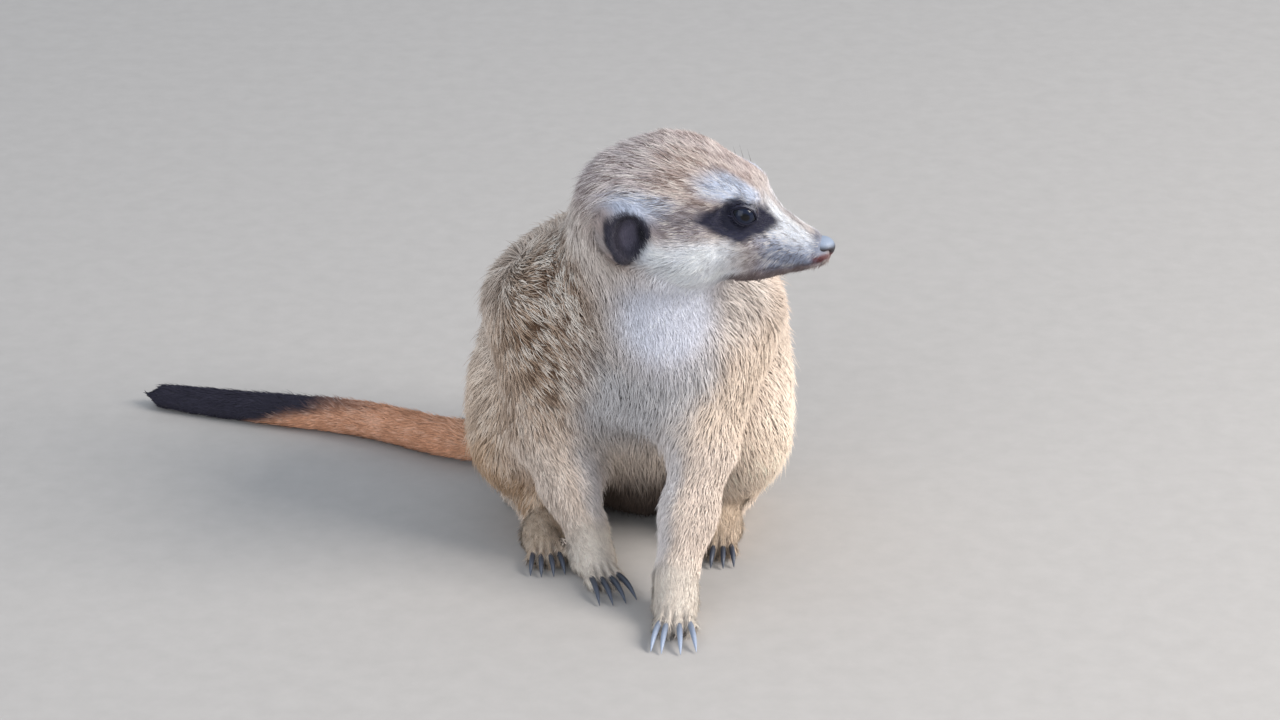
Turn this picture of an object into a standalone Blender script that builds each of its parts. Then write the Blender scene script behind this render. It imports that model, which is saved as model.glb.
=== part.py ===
"""A sitting meerkat, life size, as a still museum model.

The animal sits with its forepaws planted in front of it and its head turned to its left.
Its body is one smooth mass, blended from rods and eggs that stand for its muscles and coat,
and then parted with thin cuts into head, neck, trunk, tail and legs.

Places are in millimetres: x to the animal's left, y towards its tail, z up from the floor.
"""

import math

import bmesh
import bpy
import numpy as np
from mathutils import Matrix, Vector

MM = 0.001

# ---- Finish of the body mesh ----
VOXEL = 1.3 * MM
FIT_STEPS = 3
BODY_TRIANGLES = 3050
GAP = 0.3 * MM
SMALL_STEP = 0.2 * MM
ROUND_SIDES = 20
EYE_SIDES = 14
CLAW_STEPS = 4

# ---- Softness of the blends between masses (millimetres) ----
TRUNK_BLEND = 20
NECK_BLEND = 15
HEAD_BLEND = 7
LIMB_BLEND = 7
SHOULDER_BLEND = 14
TOE_BLEND = 2.2
TAIL_BLEND = 9
ROD_BLEND = 0.8

# ---- Head: its own frame has x to the nose, y to the animal's left, z up ----
HEAD_PLACE = (11, -29, 134)
HEAD_YAW = -10
HEAD_PITCH = 2
SNOUT_TIP = (48.5, 0, -11.1)
EYE_PLACE = (23.3, 10.6, 3.0)
EYE_RADIUS = 4.9
EAR_PLACE = (-11.5, 22.5, -3.8)
EAR_RADII = (7.6, 3.2, 10.6)
EAR_FLARE = 24

# ---- Legs: the joints of each, from the body down, and the fan of its toes in degrees ----
FORELEGS = {
    "left": {
        "shoulder": (29, -6, 86),
        "elbow": (21, -27, 51),
        "wrist": (11.6, -50, 13),
        "heading": -2,
        "fan": (-22, -11, 7, 23),
    },
    "right": {
        "shoulder": (-33, 0, 88),
        "elbow": (-32, -9, 47),
        "wrist": (-17.5, -16.5, 13),
        "heading": 20,
        "fan": (-20, -7, 6, 19),
    },
}
HINDLEGS = {
    "left": {
        "hip": (24, 40, 42),
        "knee": (36, 7, 37),
        "heel": (31, 36, 9),
        "instep": (27.5, 7.5, 7),
        "heading": -4,
        "fan": (-21, -7, 7, 20),
    },
    "right": {
        "hip": (-32, 42, 42),
        "knee": (-43, 8, 37),
        "heel": (-38, 36, 9),
        "instep": (-33, 1, 7),
        "heading": 5,
        "fan": (-20, -7, 7, 21),
    },
}
SHOULDER_RADIUS = 20
ELBOW_RADIUS = 11.2
FOREARM_SWELL = 1.0
WRIST_RADIUS = 8.0
KNEE_RADIUS = 15
HEEL_RADIUS = 8.5

# ---- Feet: sizes of a forepaw and of a hind foot ----
FOREPAW = {
    "palm": (9.0, 8.2, 7.0),
    "knuckle": 5.0,
    "toe": 8.8,
    "toe_radius": 3.0,
    "claw": 12.5,
    "claw_radius": 1.25,
}
HINDPAW = {
    "palm": (10.5, 7.6, 6.4),
    "knuckle": 5.5,
    "toe": 7.8,
    "toe_radius": 2.8,
    "claw": 7.5,
    "claw_radius": 1.1,
}
TOE_HEIGHT = 3.0
CLAW_SPREAD = 0.45
CLAW_ROOT_DEPTH = 1.2
CLAW_RISE = 1.6
CLAW_TIP_RADIUS = 0.4

# ---- Tail: from the rump out over the floor to the tip ----
TAIL_PATH = (
    (-8, 52, 20),
    (-30, 64, 12),
    (-62, 68, 8.8),
    (-100, 90, 7.4),
    (-140, 103, 6.2),
    (-181, 118, 4.6),
)
TAIL_RODS = 18
TAIL_ROOT_RADIUS = 12.5
TAIL_ROOT_SHARE = 0.2
TAIL_RADIUS = 8.6
TAIL_END_RADIUS = 5.2
TAIL_POINT = 0.93
TAIL_CUTS = (0.30, 0.52, 0.76)

# ---- Cuts that part the body: a place on each, the direction of what is taken off, its reach ----
NOSE_CELL = ((44.8, 0, -9.6), 3.3, 10)
EAR_CELL = (21.3, 11.5, 6.5)
HEAD_CELL = ((-8.5, 0, -12.5), (0.5, 0, 0.866), 28, 70, 92)
NECK_CUT = ((1, -9, 107), (0.05, -0.63, 0.775))
WIDE = 70
PAW_CELL = (18, 45)
PAW_LEAN = 0.45
FOOT_CELL = (14, 34, 8.7)
FOOT_CELL_DROP = 2
THIGH_CELL = ((22, 17, 34), 29, 40)
TAIL_CELL = 14

COAT = (0.55, 0.43, 0.32)
PALE_COAT = (0.62, 0.59, 0.57)
TAIL_COAT = (0.45, 0.24, 0.13)
BLACK_COAT = (0.03, 0.03, 0.035)
CLAW_HORN = (0.10, 0.11, 0.13)
EYE_BROWN = (0.03, 0.018, 0.012)


def mm(place):
    """A place or size in millimetres, as metres."""
    return np.array(place, float) * MM


def turning(yaw, pitch=0.0, roll=0.0):
    """A rotation: roll about x, then pitch nose-down about y, then yaw about z, in degrees."""
    return np.array(
        Matrix.Rotation(math.radians(yaw), 3, "Z")
        @ Matrix.Rotation(math.radians(pitch), 3, "Y")
        @ Matrix.Rotation(math.radians(roll), 3, "X")
    )


HEAD_TURN = turning(HEAD_YAW, HEAD_PITCH)


def in_head(place):
    """A place in the head's own frame, as a place in the room."""
    return np.array(HEAD_PLACE) + HEAD_TURN @ np.array(place, float)


class Rod:
    """A round-ended rod from a to b, whose radius runs from ra to rb."""

    def __init__(self, a, b, ra, rb):
        self.a, self.b = mm(a), mm(b)
        self.ra, self.rb = ra * MM, rb * MM

    def distance(self, points):
        along = self.b - self.a
        share = np.clip((points - self.a) @ along / (along @ along), 0, 1)
        nearest = self.a + share[:, None] * along
        return np.linalg.norm(points - nearest, axis=1) - self.ra - share * (self.rb - self.ra)

    def add_to(self, bm):
        for centre, radius in ((self.a, self.ra), (self.b, self.rb)):
            add_sphere(bm, Matrix.Translation(centre) @ Matrix.Scale(radius, 4))
        add_cone(bm, self.a, self.b, self.ra, self.rb, ROUND_SIDES)


class Egg:
    """An ellipsoid with the given half-axes, turned by a rotation."""

    def __init__(self, centre, radii, turn=None):
        self.centre, self.radii = mm(centre), mm(radii)
        self.turn = np.eye(3) if turn is None else turn

    def distance(self, points):
        scaled = (points - self.centre) @ self.turn / self.radii
        size = np.linalg.norm(scaled, axis=1)
        slope = np.linalg.norm(scaled / self.radii, axis=1)
        return size * (size - 1) / np.maximum(slope, 1e-9)

    def add_to(self, bm):
        stretch = Matrix.Diagonal((*self.radii, 1))
        place = Matrix.Translation(self.centre) @ Matrix(self.turn).to_4x4()
        add_sphere(bm, place @ stretch)


def add_sphere(bm, matrix):
    bmesh.ops.create_uvsphere(
        bm, u_segments=ROUND_SIDES, v_segments=ROUND_SIDES // 2, radius=1, matrix=matrix
    )


def add_cone(bm, a, b, ra, rb, sides):
    """A closed frustum from a to b."""
    along = Vector(b) - Vector(a)
    turn = along.to_track_quat("Z", "Y").to_matrix().to_4x4()
    bmesh.ops.create_cone(
        bm,
        cap_ends=True,
        segments=sides,
        radius1=ra,
        radius2=rb,
        depth=along.length,
        matrix=Matrix.Translation((Vector(a) + Vector(b)) / 2) @ turn,
    )


def soft_min(a, b, softness):
    """The lesser of two distances, with the crease between them filled to about softness."""
    overlap = np.maximum(softness - np.abs(a - b), 0) / softness
    return np.minimum(a, b) - overlap**2 * softness / 4


def blend(blobs, points, softness):
    """The distance to several blobs, blended one after another."""
    total = blobs[0].distance(points)
    for blob in blobs[1:]:
        total = soft_min(total, blob.distance(points), softness * MM)
    return total


def carve(distance, blobs, points, softness):
    """Hollows blobs out of a distance, with a soft rim."""
    for blob in blobs:
        distance = -soft_min(-distance, blob.distance(points), softness * MM)
    return distance


# ---- The masses of the body ----


def trunk_blobs():
    """Rib cage, breast, back, rump, and the belly low between the legs."""
    return [
        Egg((-1, 2, 84), (34, 30, 32)),
        Egg((-2, 12, 96), (22, 20, 18)),
        Egg((-3, 20, 81), (46, 30, 26)),
        Egg((0, 30, 68), (50, 36, 38)),
        Egg((-4, 34, 42), (50, 38, 38)),
        Egg((-6, 48, 32), (34, 24, 27)),
        Egg((3, -17, 78), (21, 17, 26)),
        Egg((3, 25, 25), (13, 20, 18)),
    ]


def neck_blobs():
    """The thick neck, which twists up to the turned head, and the throat."""
    return [
        Rod((-4, -8, 100), in_head((-13.5, -4, -2)), 24.5, 20.5),
        Rod((4, -16, 92), in_head((2, -1, -9)), 20, 16),
    ]


def head_blobs():
    """The domed skull, the cheeks, the brow and the long thin snout."""
    blobs = [
        Egg(in_head((-1.5, 0, 1.5)), (26.5, 22.5, 22.6), HEAD_TURN),
        Egg(in_head((12.5, 0, 1.8)), (15.5, 14, 11.6), HEAD_TURN),
        Rod(in_head((18, 0, -0.5)), in_head((43, 0, -10)), 12.8, 4.4),
        Rod(in_head((20, 0, -8)), in_head((41, 0, -11.8)), 11.0, 4.8),
        Rod(in_head((38, 0, -10.4)), in_head(SNOUT_TIP), 4.6, 3.3),
        Rod(in_head((6, 0, -15.2)), in_head((28, 0, -17.6)), 10.2, 5.9),
        Rod(in_head((28, 0, -17.6)), in_head((45.4, 0, -17.4)), 5.9, 3.1),
    ]
    for side in (-1, 1):
        blobs += [
            Egg(in_head((0, side * 13, -11.8)), (17.5, 11.5, 12.4), HEAD_TURN),
            Egg(in_head((19, side * 9.5, 7.4)), (9, 4.7, 3.4), HEAD_TURN @ turning(-side * 14)),
            Egg(in_head((21, side * 9.5, -6.5)), (11, 5.5, 6), HEAD_TURN),
        ]
    return blobs


def eye_hollows():
    """The shallow sockets round the eyes."""
    x, y, z = EYE_PLACE
    return [
        Egg(in_head((x + 0.8, side * (y + 5.4), z)), (7.4, 4.6, 5.6), HEAD_TURN)
        for side in (-1, 1)
    ]


def ear_turn(side):
    """An ear lies against the side of the head and flares out towards the nose side."""
    return HEAD_TURN @ turning(-side * EAR_FLARE, 8, side * 6)


def ear_blobs(side):
    x, y, z = EAR_PLACE
    return [Egg(in_head((x, side * y, z)), EAR_RADII, ear_turn(side))]


def ear_hollow(side):
    """The cup of the ear, open outwards."""
    x, y, z = EAR_PLACE
    rx, ry, rz = EAR_RADII
    place = in_head((x + 1.2, side * (y + 3.4), z - 0.5))
    return Egg(place, (rx * 0.66, ry * 0.95, rz * 0.7), ear_turn(side))


def heading_vector(degrees):
    """A level direction: 0 is straight ahead of the animal, positive is to its left."""
    angle = math.radians(degrees)
    return np.array([math.sin(angle), -math.cos(angle), 0])


def toes_of(ankle, leg, paw):
    """The middle of a paw's palm and, for each toe: its knuckle, its tip, and its claw's direction.
    The claws spread less than the toes do."""
    ahead = heading_vector(leg["heading"])
    palm = np.array([ankle[0], ankle[1], paw["palm"][2] - 1.2]) + ahead * paw["palm"][0] * 0.55
    toes = []
    for fan in leg["fan"]:
        out = heading_vector(leg["heading"] + fan)
        reach = paw["toe"] * (1.0 - 0.18 * abs(fan) / 30)
        knuckle = palm + out * paw["knuckle"] + np.array([0, 0, 0.4])
        tip = palm + out * (paw["knuckle"] + reach)
        tip[2] = TOE_HEIGHT
        toes.append((knuckle, tip, heading_vector(leg["heading"] + fan * CLAW_SPREAD)))
    return palm, toes


def paw_blobs(ankle, leg, paw):
    palm, toes = toes_of(ankle, leg, paw)
    turn = turning(leg["heading"] - 90)
    radius = paw["toe_radius"]
    blobs = [Egg(palm, paw["palm"], turn)]
    blobs += [Rod(knuckle, tip, radius + 0.5, radius - 0.3) for knuckle, tip, _ in toes]
    return blobs


def foreleg_blobs(side):
    leg = FORELEGS[side]
    middle = (np.array(leg["elbow"]) * 0.45 + np.array(leg["wrist"]) * 0.55)
    return [
        Rod(leg["shoulder"], leg["elbow"], SHOULDER_RADIUS, ELBOW_RADIUS),
        Rod(leg["elbow"], middle, ELBOW_RADIUS, WRIST_RADIUS + FOREARM_SWELL),
        Rod(middle, leg["wrist"], WRIST_RADIUS + FOREARM_SWELL, WRIST_RADIUS),
    ]


def hindleg_blobs(side):
    """Thigh, shank and the long flat foot."""
    leg = HINDLEGS[side]
    hip, knee, heel, instep = (np.array(leg[k], float) for k in ("hip", "knee", "heel", "instep"))
    outward = 1 if side == "left" else -1
    thigh = hip * 0.42 + knee * 0.58 + np.array([outward * 1.5, 0, -1])
    return [
        Egg(thigh, (19, 29, 28)),
        Rod(knee, heel, KNEE_RADIUS, HEEL_RADIUS + 3),
        Rod(heel, instep, HEEL_RADIUS, HEEL_RADIUS - 1),
    ]


def tail_place(share):
    """The middle of the tail at a share of its length, on one smooth curve through its path."""
    spans = len(TAIL_PATH) - 1
    span = min(int(share * spans), spans - 1)
    t = share * spans - span
    points = [np.array(TAIL_PATH[min(max(span + k, 0), spans)], float) for k in (-1, 0, 1, 2)]
    before, start, end, after = points
    leave, arrive = (end - before) / 2, (after - start) / 2
    return (
        start * (2 * t**3 - 3 * t**2 + 1)
        + leave * (t**3 - 2 * t**2 + t)
        + end * (3 * t**2 - 2 * t**3)
        + arrive * (t**3 - t**2)
    )


def tail_radius(share):
    """The tail narrows evenly from behind its thick root, and comes to a blunt point."""
    even = TAIL_RADIUS + (TAIL_END_RADIUS - TAIL_RADIUS) * share
    root = (TAIL_ROOT_RADIUS - TAIL_RADIUS) * max(0.0, 1 - share / TAIL_ROOT_SHARE) ** 2
    point = max(0.0, (share - TAIL_POINT) / (1 - TAIL_POINT))
    return (even + root) * (1 - 0.75 * point**1.5)


def tail_blobs():
    steps = [k / TAIL_RODS for k in range(TAIL_RODS + 1)]
    return [
        Rod(tail_place(a), tail_place(b), tail_radius(a), tail_radius(b))
        for a, b in zip(steps, steps[1:], strict=False)
    ]


LEGS = [("foreleg", side) for side in ("left", "right")] + [
    ("hindleg", side) for side in ("left", "right")
]


def leg_blobs(kind, side):
    return foreleg_blobs(side) if kind == "foreleg" else hindleg_blobs(side)


def foot_of(kind, side):
    """Where a leg's paw starts, the leg itself, and the paw's sizes."""
    if kind == "foreleg":
        return FORELEGS[side]["wrist"], FORELEGS[side], FOREPAW
    return HINDLEGS[side]["instep"], HINDLEGS[side], HINDPAW


def all_blobs():
    blobs = trunk_blobs() + neck_blobs() + head_blobs() + tail_blobs()
    for side in (-1, 1):
        blobs += ear_blobs(side)
    for kind, side in LEGS:
        blobs += leg_blobs(kind, side) + paw_blobs(*foot_of(kind, side))
    return blobs


def body_distance(points):
    """The distance to the whole body: each limb melts into the trunk, and not into its neighbours."""
    trunk = blend(trunk_blobs(), points, TRUNK_BLEND)
    neck = blend(neck_blobs(), points, NECK_BLEND)
    head = blend(head_blobs(), points, HEAD_BLEND)
    head = carve(head, eye_hollows(), points, 2.5)
    core = soft_min(trunk, neck, NECK_BLEND * MM)
    core = soft_min(core, head, HEAD_BLEND * MM)
    for side in (-1, 1):
        ear = blend(ear_blobs(side), points, 1)
        core = carve(soft_min(core, ear, 2.0 * MM), [ear_hollow(side)], points, 1.2)
    whole = soft_min(core, blend(tail_blobs(), points, ROD_BLEND), TAIL_BLEND * MM)
    for kind, side in LEGS:
        leg = blend(leg_blobs(kind, side), points, LIMB_BLEND)
        paw = blend(paw_blobs(*foot_of(kind, side)), points, TOE_BLEND)
        limb = soft_min(leg, paw, 4 * MM)
        whole = np.minimum(whole, soft_min(core, limb, SHOULDER_BLEND * MM))
    return whole


# ---- Making and parting the body ----


def linked(name, mesh, collection):
    obj = bpy.data.objects.new(name, mesh)
    collection.objects.link(obj)
    return obj


def mesh_from(bm, name):
    mesh = bpy.data.meshes.new(name)
    bm.to_mesh(mesh)
    bm.free()
    return mesh


def evaluated_mesh(obj):
    """The object's mesh with its modifiers applied, as a mesh of its own."""
    graph = bpy.context.evaluated_depsgraph_get()
    return bpy.data.meshes.new_from_object(obj.evaluated_get(graph))


def fit_to_body(mesh):
    """Slides each vertex down the slope of the body's distance until it lies on the blended surface."""
    count = len(mesh.vertices)
    flat = np.empty(count * 3)
    mesh.vertices.foreach_get("co", flat)
    points = flat.reshape(-1, 3)
    for _ in range(FIT_STEPS):
        here = body_distance(points)
        slope = np.empty_like(points)
        for axis in range(3):
            ahead = points.copy()
            ahead[:, axis] += SMALL_STEP
            slope[:, axis] = (body_distance(ahead) - here) / SMALL_STEP
        steepness = np.maximum((slope**2).sum(axis=1), 0.25)
        points -= slope * (here / steepness)[:, None]
    mesh.vertices.foreach_set("co", points.ravel())
    mesh.update()


def boolean(obj, cutter, operation, solver="EXACT"):
    """Cuts obj with a cutter, or keeps what they share, and keeps the largest piece of the result."""
    modifier = obj.modifiers.new("cut", "BOOLEAN")
    modifier.operation = operation
    modifier.solver = solver
    modifier.object = cutter
    obj.data = largest_piece(evaluated_mesh(obj))
    obj.modifiers.clear()


def largest_piece(mesh):
    """The biggest connected shell of a mesh, by its number of faces."""
    bm = bmesh.new()
    bm.from_mesh(mesh)
    unseen = set(bm.verts)
    shells = []
    while unseen:
        shell = {unseen.pop()}
        edge = list(shell)
        while edge:
            step = {e.other_vert(v) for v in edge for e in v.link_edges} - shell
            shell |= step
            edge = list(step)
        unseen -= shell
        shells.append(shell)
    keep = max(shells, key=len)
    bmesh.ops.delete(bm, geom=[v for v in bm.verts if v not in keep], context="VERTS")
    bm.to_mesh(mesh)
    bm.free()
    return mesh


def skinned_over(source, name, parts):
    """One even skin round a shape that may cross itself, fitted to the body. The shape is removed."""
    remesh = source.modifiers.new("skin_over", "REMESH")
    remesh.mode = "VOXEL"
    remesh.voxel_size = VOXEL
    skin = linked(name, largest_piece(evaluated_mesh(source)), parts)
    bpy.data.objects.remove(source)
    fit_to_body(skin.data)
    return skin


def make_body(parts):
    """The whole body as one closed mesh, with small flats where it meets the floor."""
    bm = bmesh.new()
    for blob in all_blobs():
        blob.add_to(bm)
    rough = linked("rough_body", mesh_from(bm, "rough_body"), parts)
    fitted = skinned_over(rough, "fitted_body", parts)
    fine = skinned_over(fitted, "body", parts)
    smooth = fine.modifiers.new("even_out", "SMOOTH")
    smooth.factor = 0.5
    smooth.iterations = 2
    fine.data = evaluated_mesh(fine)
    fine.modifiers.clear()
    thin = fine.modifiers.new("fewer_faces", "DECIMATE")
    fine.data.calc_loop_triangles()
    thin.ratio = BODY_TRIANGLES / len(fine.data.loop_triangles)
    thin.use_collapse_triangulate = True
    fine.data = evaluated_mesh(fine)
    fine.modifiers.clear()
    return fine


def cell_of(name, start, direction, radius, reach, cutters, end_radius=None):
    """A round cutter that runs from start along direction, and the same a gap larger all round."""
    axis = np.array(direction, float) / np.linalg.norm(direction)
    start = np.array(start, float)
    made = []
    for grow in (0.0, GAP / MM):
        bm = bmesh.new()
        a, b = mm(start - axis * grow), mm(start + axis * (reach + grow))
        far = radius if end_radius is None else end_radius
        add_cone(bm, a, b, mm(radius + grow), mm(far + grow), ROUND_SIDES)
        made.append(as_cutter(linked(f"cut_{name}", mesh_from(bm, f"cut_{name}"), cutters)))
    return made


def as_cutter(obj):
    obj.hide_render = True
    obj.display_type = "WIRE"
    return obj


def part_off(name, rest, cell, parts):
    """Takes what lies in the cell off the rest of the body, as an object of its own.

    The exact solver fails on the creases where folded limbs touch the trunk, and this one holds.
    """
    inner, outer = cell
    piece = linked(name, rest.data.copy(), parts)
    boolean(piece, inner, "INTERSECT", "MANIFOLD")
    boolean(rest, outer, "DIFFERENCE", "MANIFOLD")
    return piece


# ---- Claws and eyes ----


def claw_points(tip, out, paw):
    """A claw's middle line: out of the toe, over a low arch, and down to just above the floor."""
    root = np.array([tip[0], tip[1], TOE_HEIGHT + 0.8]) + out * CLAW_ROOT_DEPTH
    end = np.array([tip[0], tip[1], CLAW_TIP_RADIUS + 0.35]) + out * (CLAW_ROOT_DEPTH + paw["claw"])
    points = []
    for k in range(CLAW_STEPS + 1):
        share = k / CLAW_STEPS
        arch = np.array([0, 0, CLAW_RISE * 4 * share * (1 - share)])
        points.append(root * (1 - share) + end * share + arch)
    return points


def claw_object(name, tip, out, paw, collection, grow=0.0):
    """A claw as a round tapering horn, made from a curve; grow makes the bore that it sits in."""
    curve = bpy.data.curves.new(name, "CURVE")
    curve.dimensions = "3D"
    curve.bevel_depth = MM
    curve.bevel_resolution = 1
    curve.use_fill_caps = True
    points = claw_points(tip, out, paw)
    spline = curve.splines.new("POLY")
    spline.points.add(len(points) - 1)
    for k, (point, place) in enumerate(zip(spline.points, points, strict=True)):
        share = k / CLAW_STEPS
        point.co = (*mm(place), 1)
        point.radius = paw["claw_radius"] * (1 - share**1.6) + CLAW_TIP_RADIUS * share**1.6 + grow
    guide = linked(f"{name}_curve", curve, collection)
    bm = bmesh.new()
    bm.from_mesh(evaluated_mesh(guide))
    bmesh.ops.remove_doubles(bm, verts=bm.verts, dist=0.00001)
    bmesh.ops.recalc_face_normals(bm, faces=bm.faces)
    bpy.data.objects.remove(guide)
    return linked(name, mesh_from(bm, name), collection)


def make_claws(body, parts, cutters):
    """Sixteen claws, each in a bore in its toe."""
    for kind, side in LEGS:
        ankle, leg, paw = foot_of(kind, side)
        _, toes = toes_of(ankle, leg, paw)
        foot = "forepaw" if kind == "foreleg" else "hindfoot"
        for number, (_, tip, out) in enumerate(toes, 1):
            name = f"claw_{foot}_{side}_{number}"
            claw = claw_object(name, tip, out, paw, parts)
            dress(claw, CLAW_HORN, 0.35)
            bore = claw_object(f"bore_{name}", tip, out, paw, cutters, GAP / MM)
            boolean(body, as_cutter(bore), "DIFFERENCE")


def eye_mesh(name, place, radius):
    bm = bmesh.new()
    bmesh.ops.create_uvsphere(
        bm,
        u_segments=EYE_SIDES,
        v_segments=EYE_SIDES // 2 + 1,
        radius=radius * MM,
        matrix=Matrix.Translation(mm(place)),
    )
    return mesh_from(bm, name)


def make_eyes(body, parts, cutters):
    """Two round eyes, each in a socket a gap larger."""
    x, y, z = EYE_PLACE
    for name, side in (("eye_left", 1), ("eye_right", -1)):
        place = in_head((x, side * y, z))
        eye = linked(name, eye_mesh(name, place, EYE_RADIUS), parts)
        dress(eye, EYE_BROWN, 0.08)
        socket = linked(f"socket_{name}", eye_mesh(name, place, EYE_RADIUS + GAP / MM), cutters)
        boolean(body, as_cutter(socket), "DIFFERENCE")


# ---- Parting the body ----


def part_head(body, parts, cutters):
    """The nose, the ears and then the head come off the body."""
    place, radius, reach = NOSE_CELL
    ahead = HEAD_TURN @ np.array([1, 0, 0.05])
    cell = cell_of("nose", in_head(place), ahead, radius, reach, cutters)
    dress(part_off("nose", body, cell, parts), BLACK_COAT, 0.4)
    start, radius, reach = EAR_CELL
    x, _, z = EAR_PLACE
    for name, side in (("ear_left", 1), ("ear_right", -1)):
        out = HEAD_TURN @ np.array([-0.05, side, 0])
        cell = cell_of(name, in_head((x, side * start, z)), out, radius, reach, cutters)
        dress(part_off(name, body, cell, parts), BLACK_COAT, 0.9)
    place, normal, radius, reach, end = HEAD_CELL
    up = HEAD_TURN @ np.array(normal)
    cell = cell_of("head", in_head(place), up, radius, reach, cutters, end)
    dress(part_off("head", body, cell, parts), PALE_COAT, 0.9)


def part_foreleg(side, body, parts, cutters):
    """Paw, lower leg and upper leg, from the floor up."""
    leg = FORELEGS[side]
    shoulder, elbow, wrist = (np.array(leg[k], float) for k in ("shoulder", "elbow", "wrist"))
    shin = (wrist - elbow) / np.linalg.norm(wrist - elbow)
    radius, reach = PAW_CELL
    onward = shin + PAW_LEAN * np.array(heading_vector(leg["heading"]))
    cell = cell_of("paw", wrist - shin, onward, radius, reach, cutters)
    dress(part_off(f"forepaw_{side}", body, cell, parts), PALE_COAT, 0.9)
    reach = np.linalg.norm(wrist - elbow) + 4
    cell = cell_of("lower", elbow, shin, ELBOW_RADIUS + 3.2, reach, cutters, WRIST_RADIUS + 4.2)
    dress(part_off(f"foreleg_{side}_lower", body, cell, parts), PALE_COAT, 0.9)
    arm = elbow - shoulder
    reach = np.linalg.norm(arm) + ELBOW_RADIUS + 6
    cell = cell_of("upper", shoulder, arm, SHOULDER_RADIUS, reach, cutters, ELBOW_RADIUS + 4)
    dress(part_off(f"foreleg_{side}_upper", body, cell, parts), COAT, 0.9)


def part_hindfoot(side, body, parts, cutters):
    """The foot ahead of its instep. Its cutter stops short of the forepaw beside it."""
    leg = HINDLEGS[side]
    outward = 1 if side == "left" else -1
    x, y, z = leg["instep"]
    radius, reach, inner = FOOT_CELL
    start = (x + outward * (radius - inner), y, z - FOOT_CELL_DROP)
    cell = cell_of("foot", start, (0, -1, 0), radius, reach, cutters)
    dress(part_off(f"hindfoot_{side}", body, cell, parts), PALE_COAT, 0.9)


def part_hindleg(side, body, parts, cutters):
    """The thigh, with the shank folded under it."""
    leg = HINDLEGS[side]
    outward = 1 if side == "left" else -1
    (x, y, z), radius, reach = THIGH_CELL
    start = (outward * x + (leg["hip"][0] + leg["knee"][0] - outward * 60) / 2, y, z)
    cell = cell_of("thigh", start, (outward, 0, 0), radius, reach, cutters)
    dress(part_off(f"hindleg_{side}", body, cell, parts), COAT, 0.9)


def part_tail(body, parts, cutters):
    """The tail comes off in three lengths, the tip first."""
    names = ("tail_base", "tail_middle", "tail_tip")
    for name, share in reversed(list(zip(names, TAIL_CUTS, strict=True))):
        start, ahead = tail_place(share), tail_place(min(share + 0.12, 1.0))
        cell = cell_of(name, start, ahead - start, TAIL_CELL, 60, cutters)
        dress(part_off(name, body, cell, parts), TAIL_COAT, 0.9)


def dress(obj, colour, roughness):
    """Gives the object a material of its own, and shades it smooth."""
    material = bpy.data.materials.new(f"{obj.name}_finish")
    material.use_nodes = True
    shader = material.node_tree.nodes["Principled BSDF"]
    shader.inputs["Base Color"].default_value = (*colour, 1)
    shader.inputs["Roughness"].default_value = roughness
    shader.inputs["Metallic"].default_value = 0.0
    material.diffuse_color = (*colour, 1)
    obj.data.materials.clear()
    obj.data.materials.append(material)
    obj.data.shade_smooth()
    obj.data.set_sharp_from_angle(angle=math.radians(50))


def rest_on_floor(body, cutters):
    """Takes off what lies below the floor, which leaves small flats to rest on."""
    cell = cell_of("floor", (0, 30, -30), (0, 0, 1), 4 * WIDE, 30, cutters)
    boolean(body, cell[0], "DIFFERENCE")


def centre_on_floor(parts):
    """Moves every part so that the origin is on the floor, in the middle of the whole box."""
    low, high = np.full(3, np.inf), np.full(3, -np.inf)
    for obj in parts.objects:
        for vertex in obj.data.vertices:
            low = np.minimum(low, vertex.co)
            high = np.maximum(high, vertex.co)
    middle = Vector(((low[0] + high[0]) / 2, (low[1] + high[1]) / 2, low[2]))
    for obj in parts.objects:
        obj.data.transform(Matrix.Translation(-middle))


def main():
    for obj in list(bpy.data.objects):
        bpy.data.objects.remove(obj)
    parts = bpy.data.collections.new("meerkat")
    cutters = bpy.data.collections.new("meerkat_cutters")
    cutters.hide_render = True
    for collection in (parts, cutters):
        bpy.context.scene.collection.children.link(collection)
    body = make_body(parts)
    rest_on_floor(body, cutters)
    make_claws(body, parts, cutters)
    make_eyes(body, parts, cutters)
    part_head(body, parts, cutters)
    for side in ("left", "right"):
        part_hindfoot(side, body, parts, cutters)
        part_foreleg(side, body, parts, cutters)
        part_hindleg(side, body, parts, cutters)
    part_tail(body, parts, cutters)
    place, normal = NECK_CUT
    cell = cell_of("neck", place, normal, WIDE, WIDE, cutters)
    dress(part_off("neck", body, cell, parts), PALE_COAT, 0.9)
    body.name = "trunk"
    dress(body, COAT, 0.9)
    centre_on_floor(parts)


if __name__ == "__main__":
    main()
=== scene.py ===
import collections
import math
from types import SimpleNamespace

import bmesh
import bpy
import numpy as np
from mathutils import Matrix, Vector
from mathutils.bvhtree import BVHTree


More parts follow.
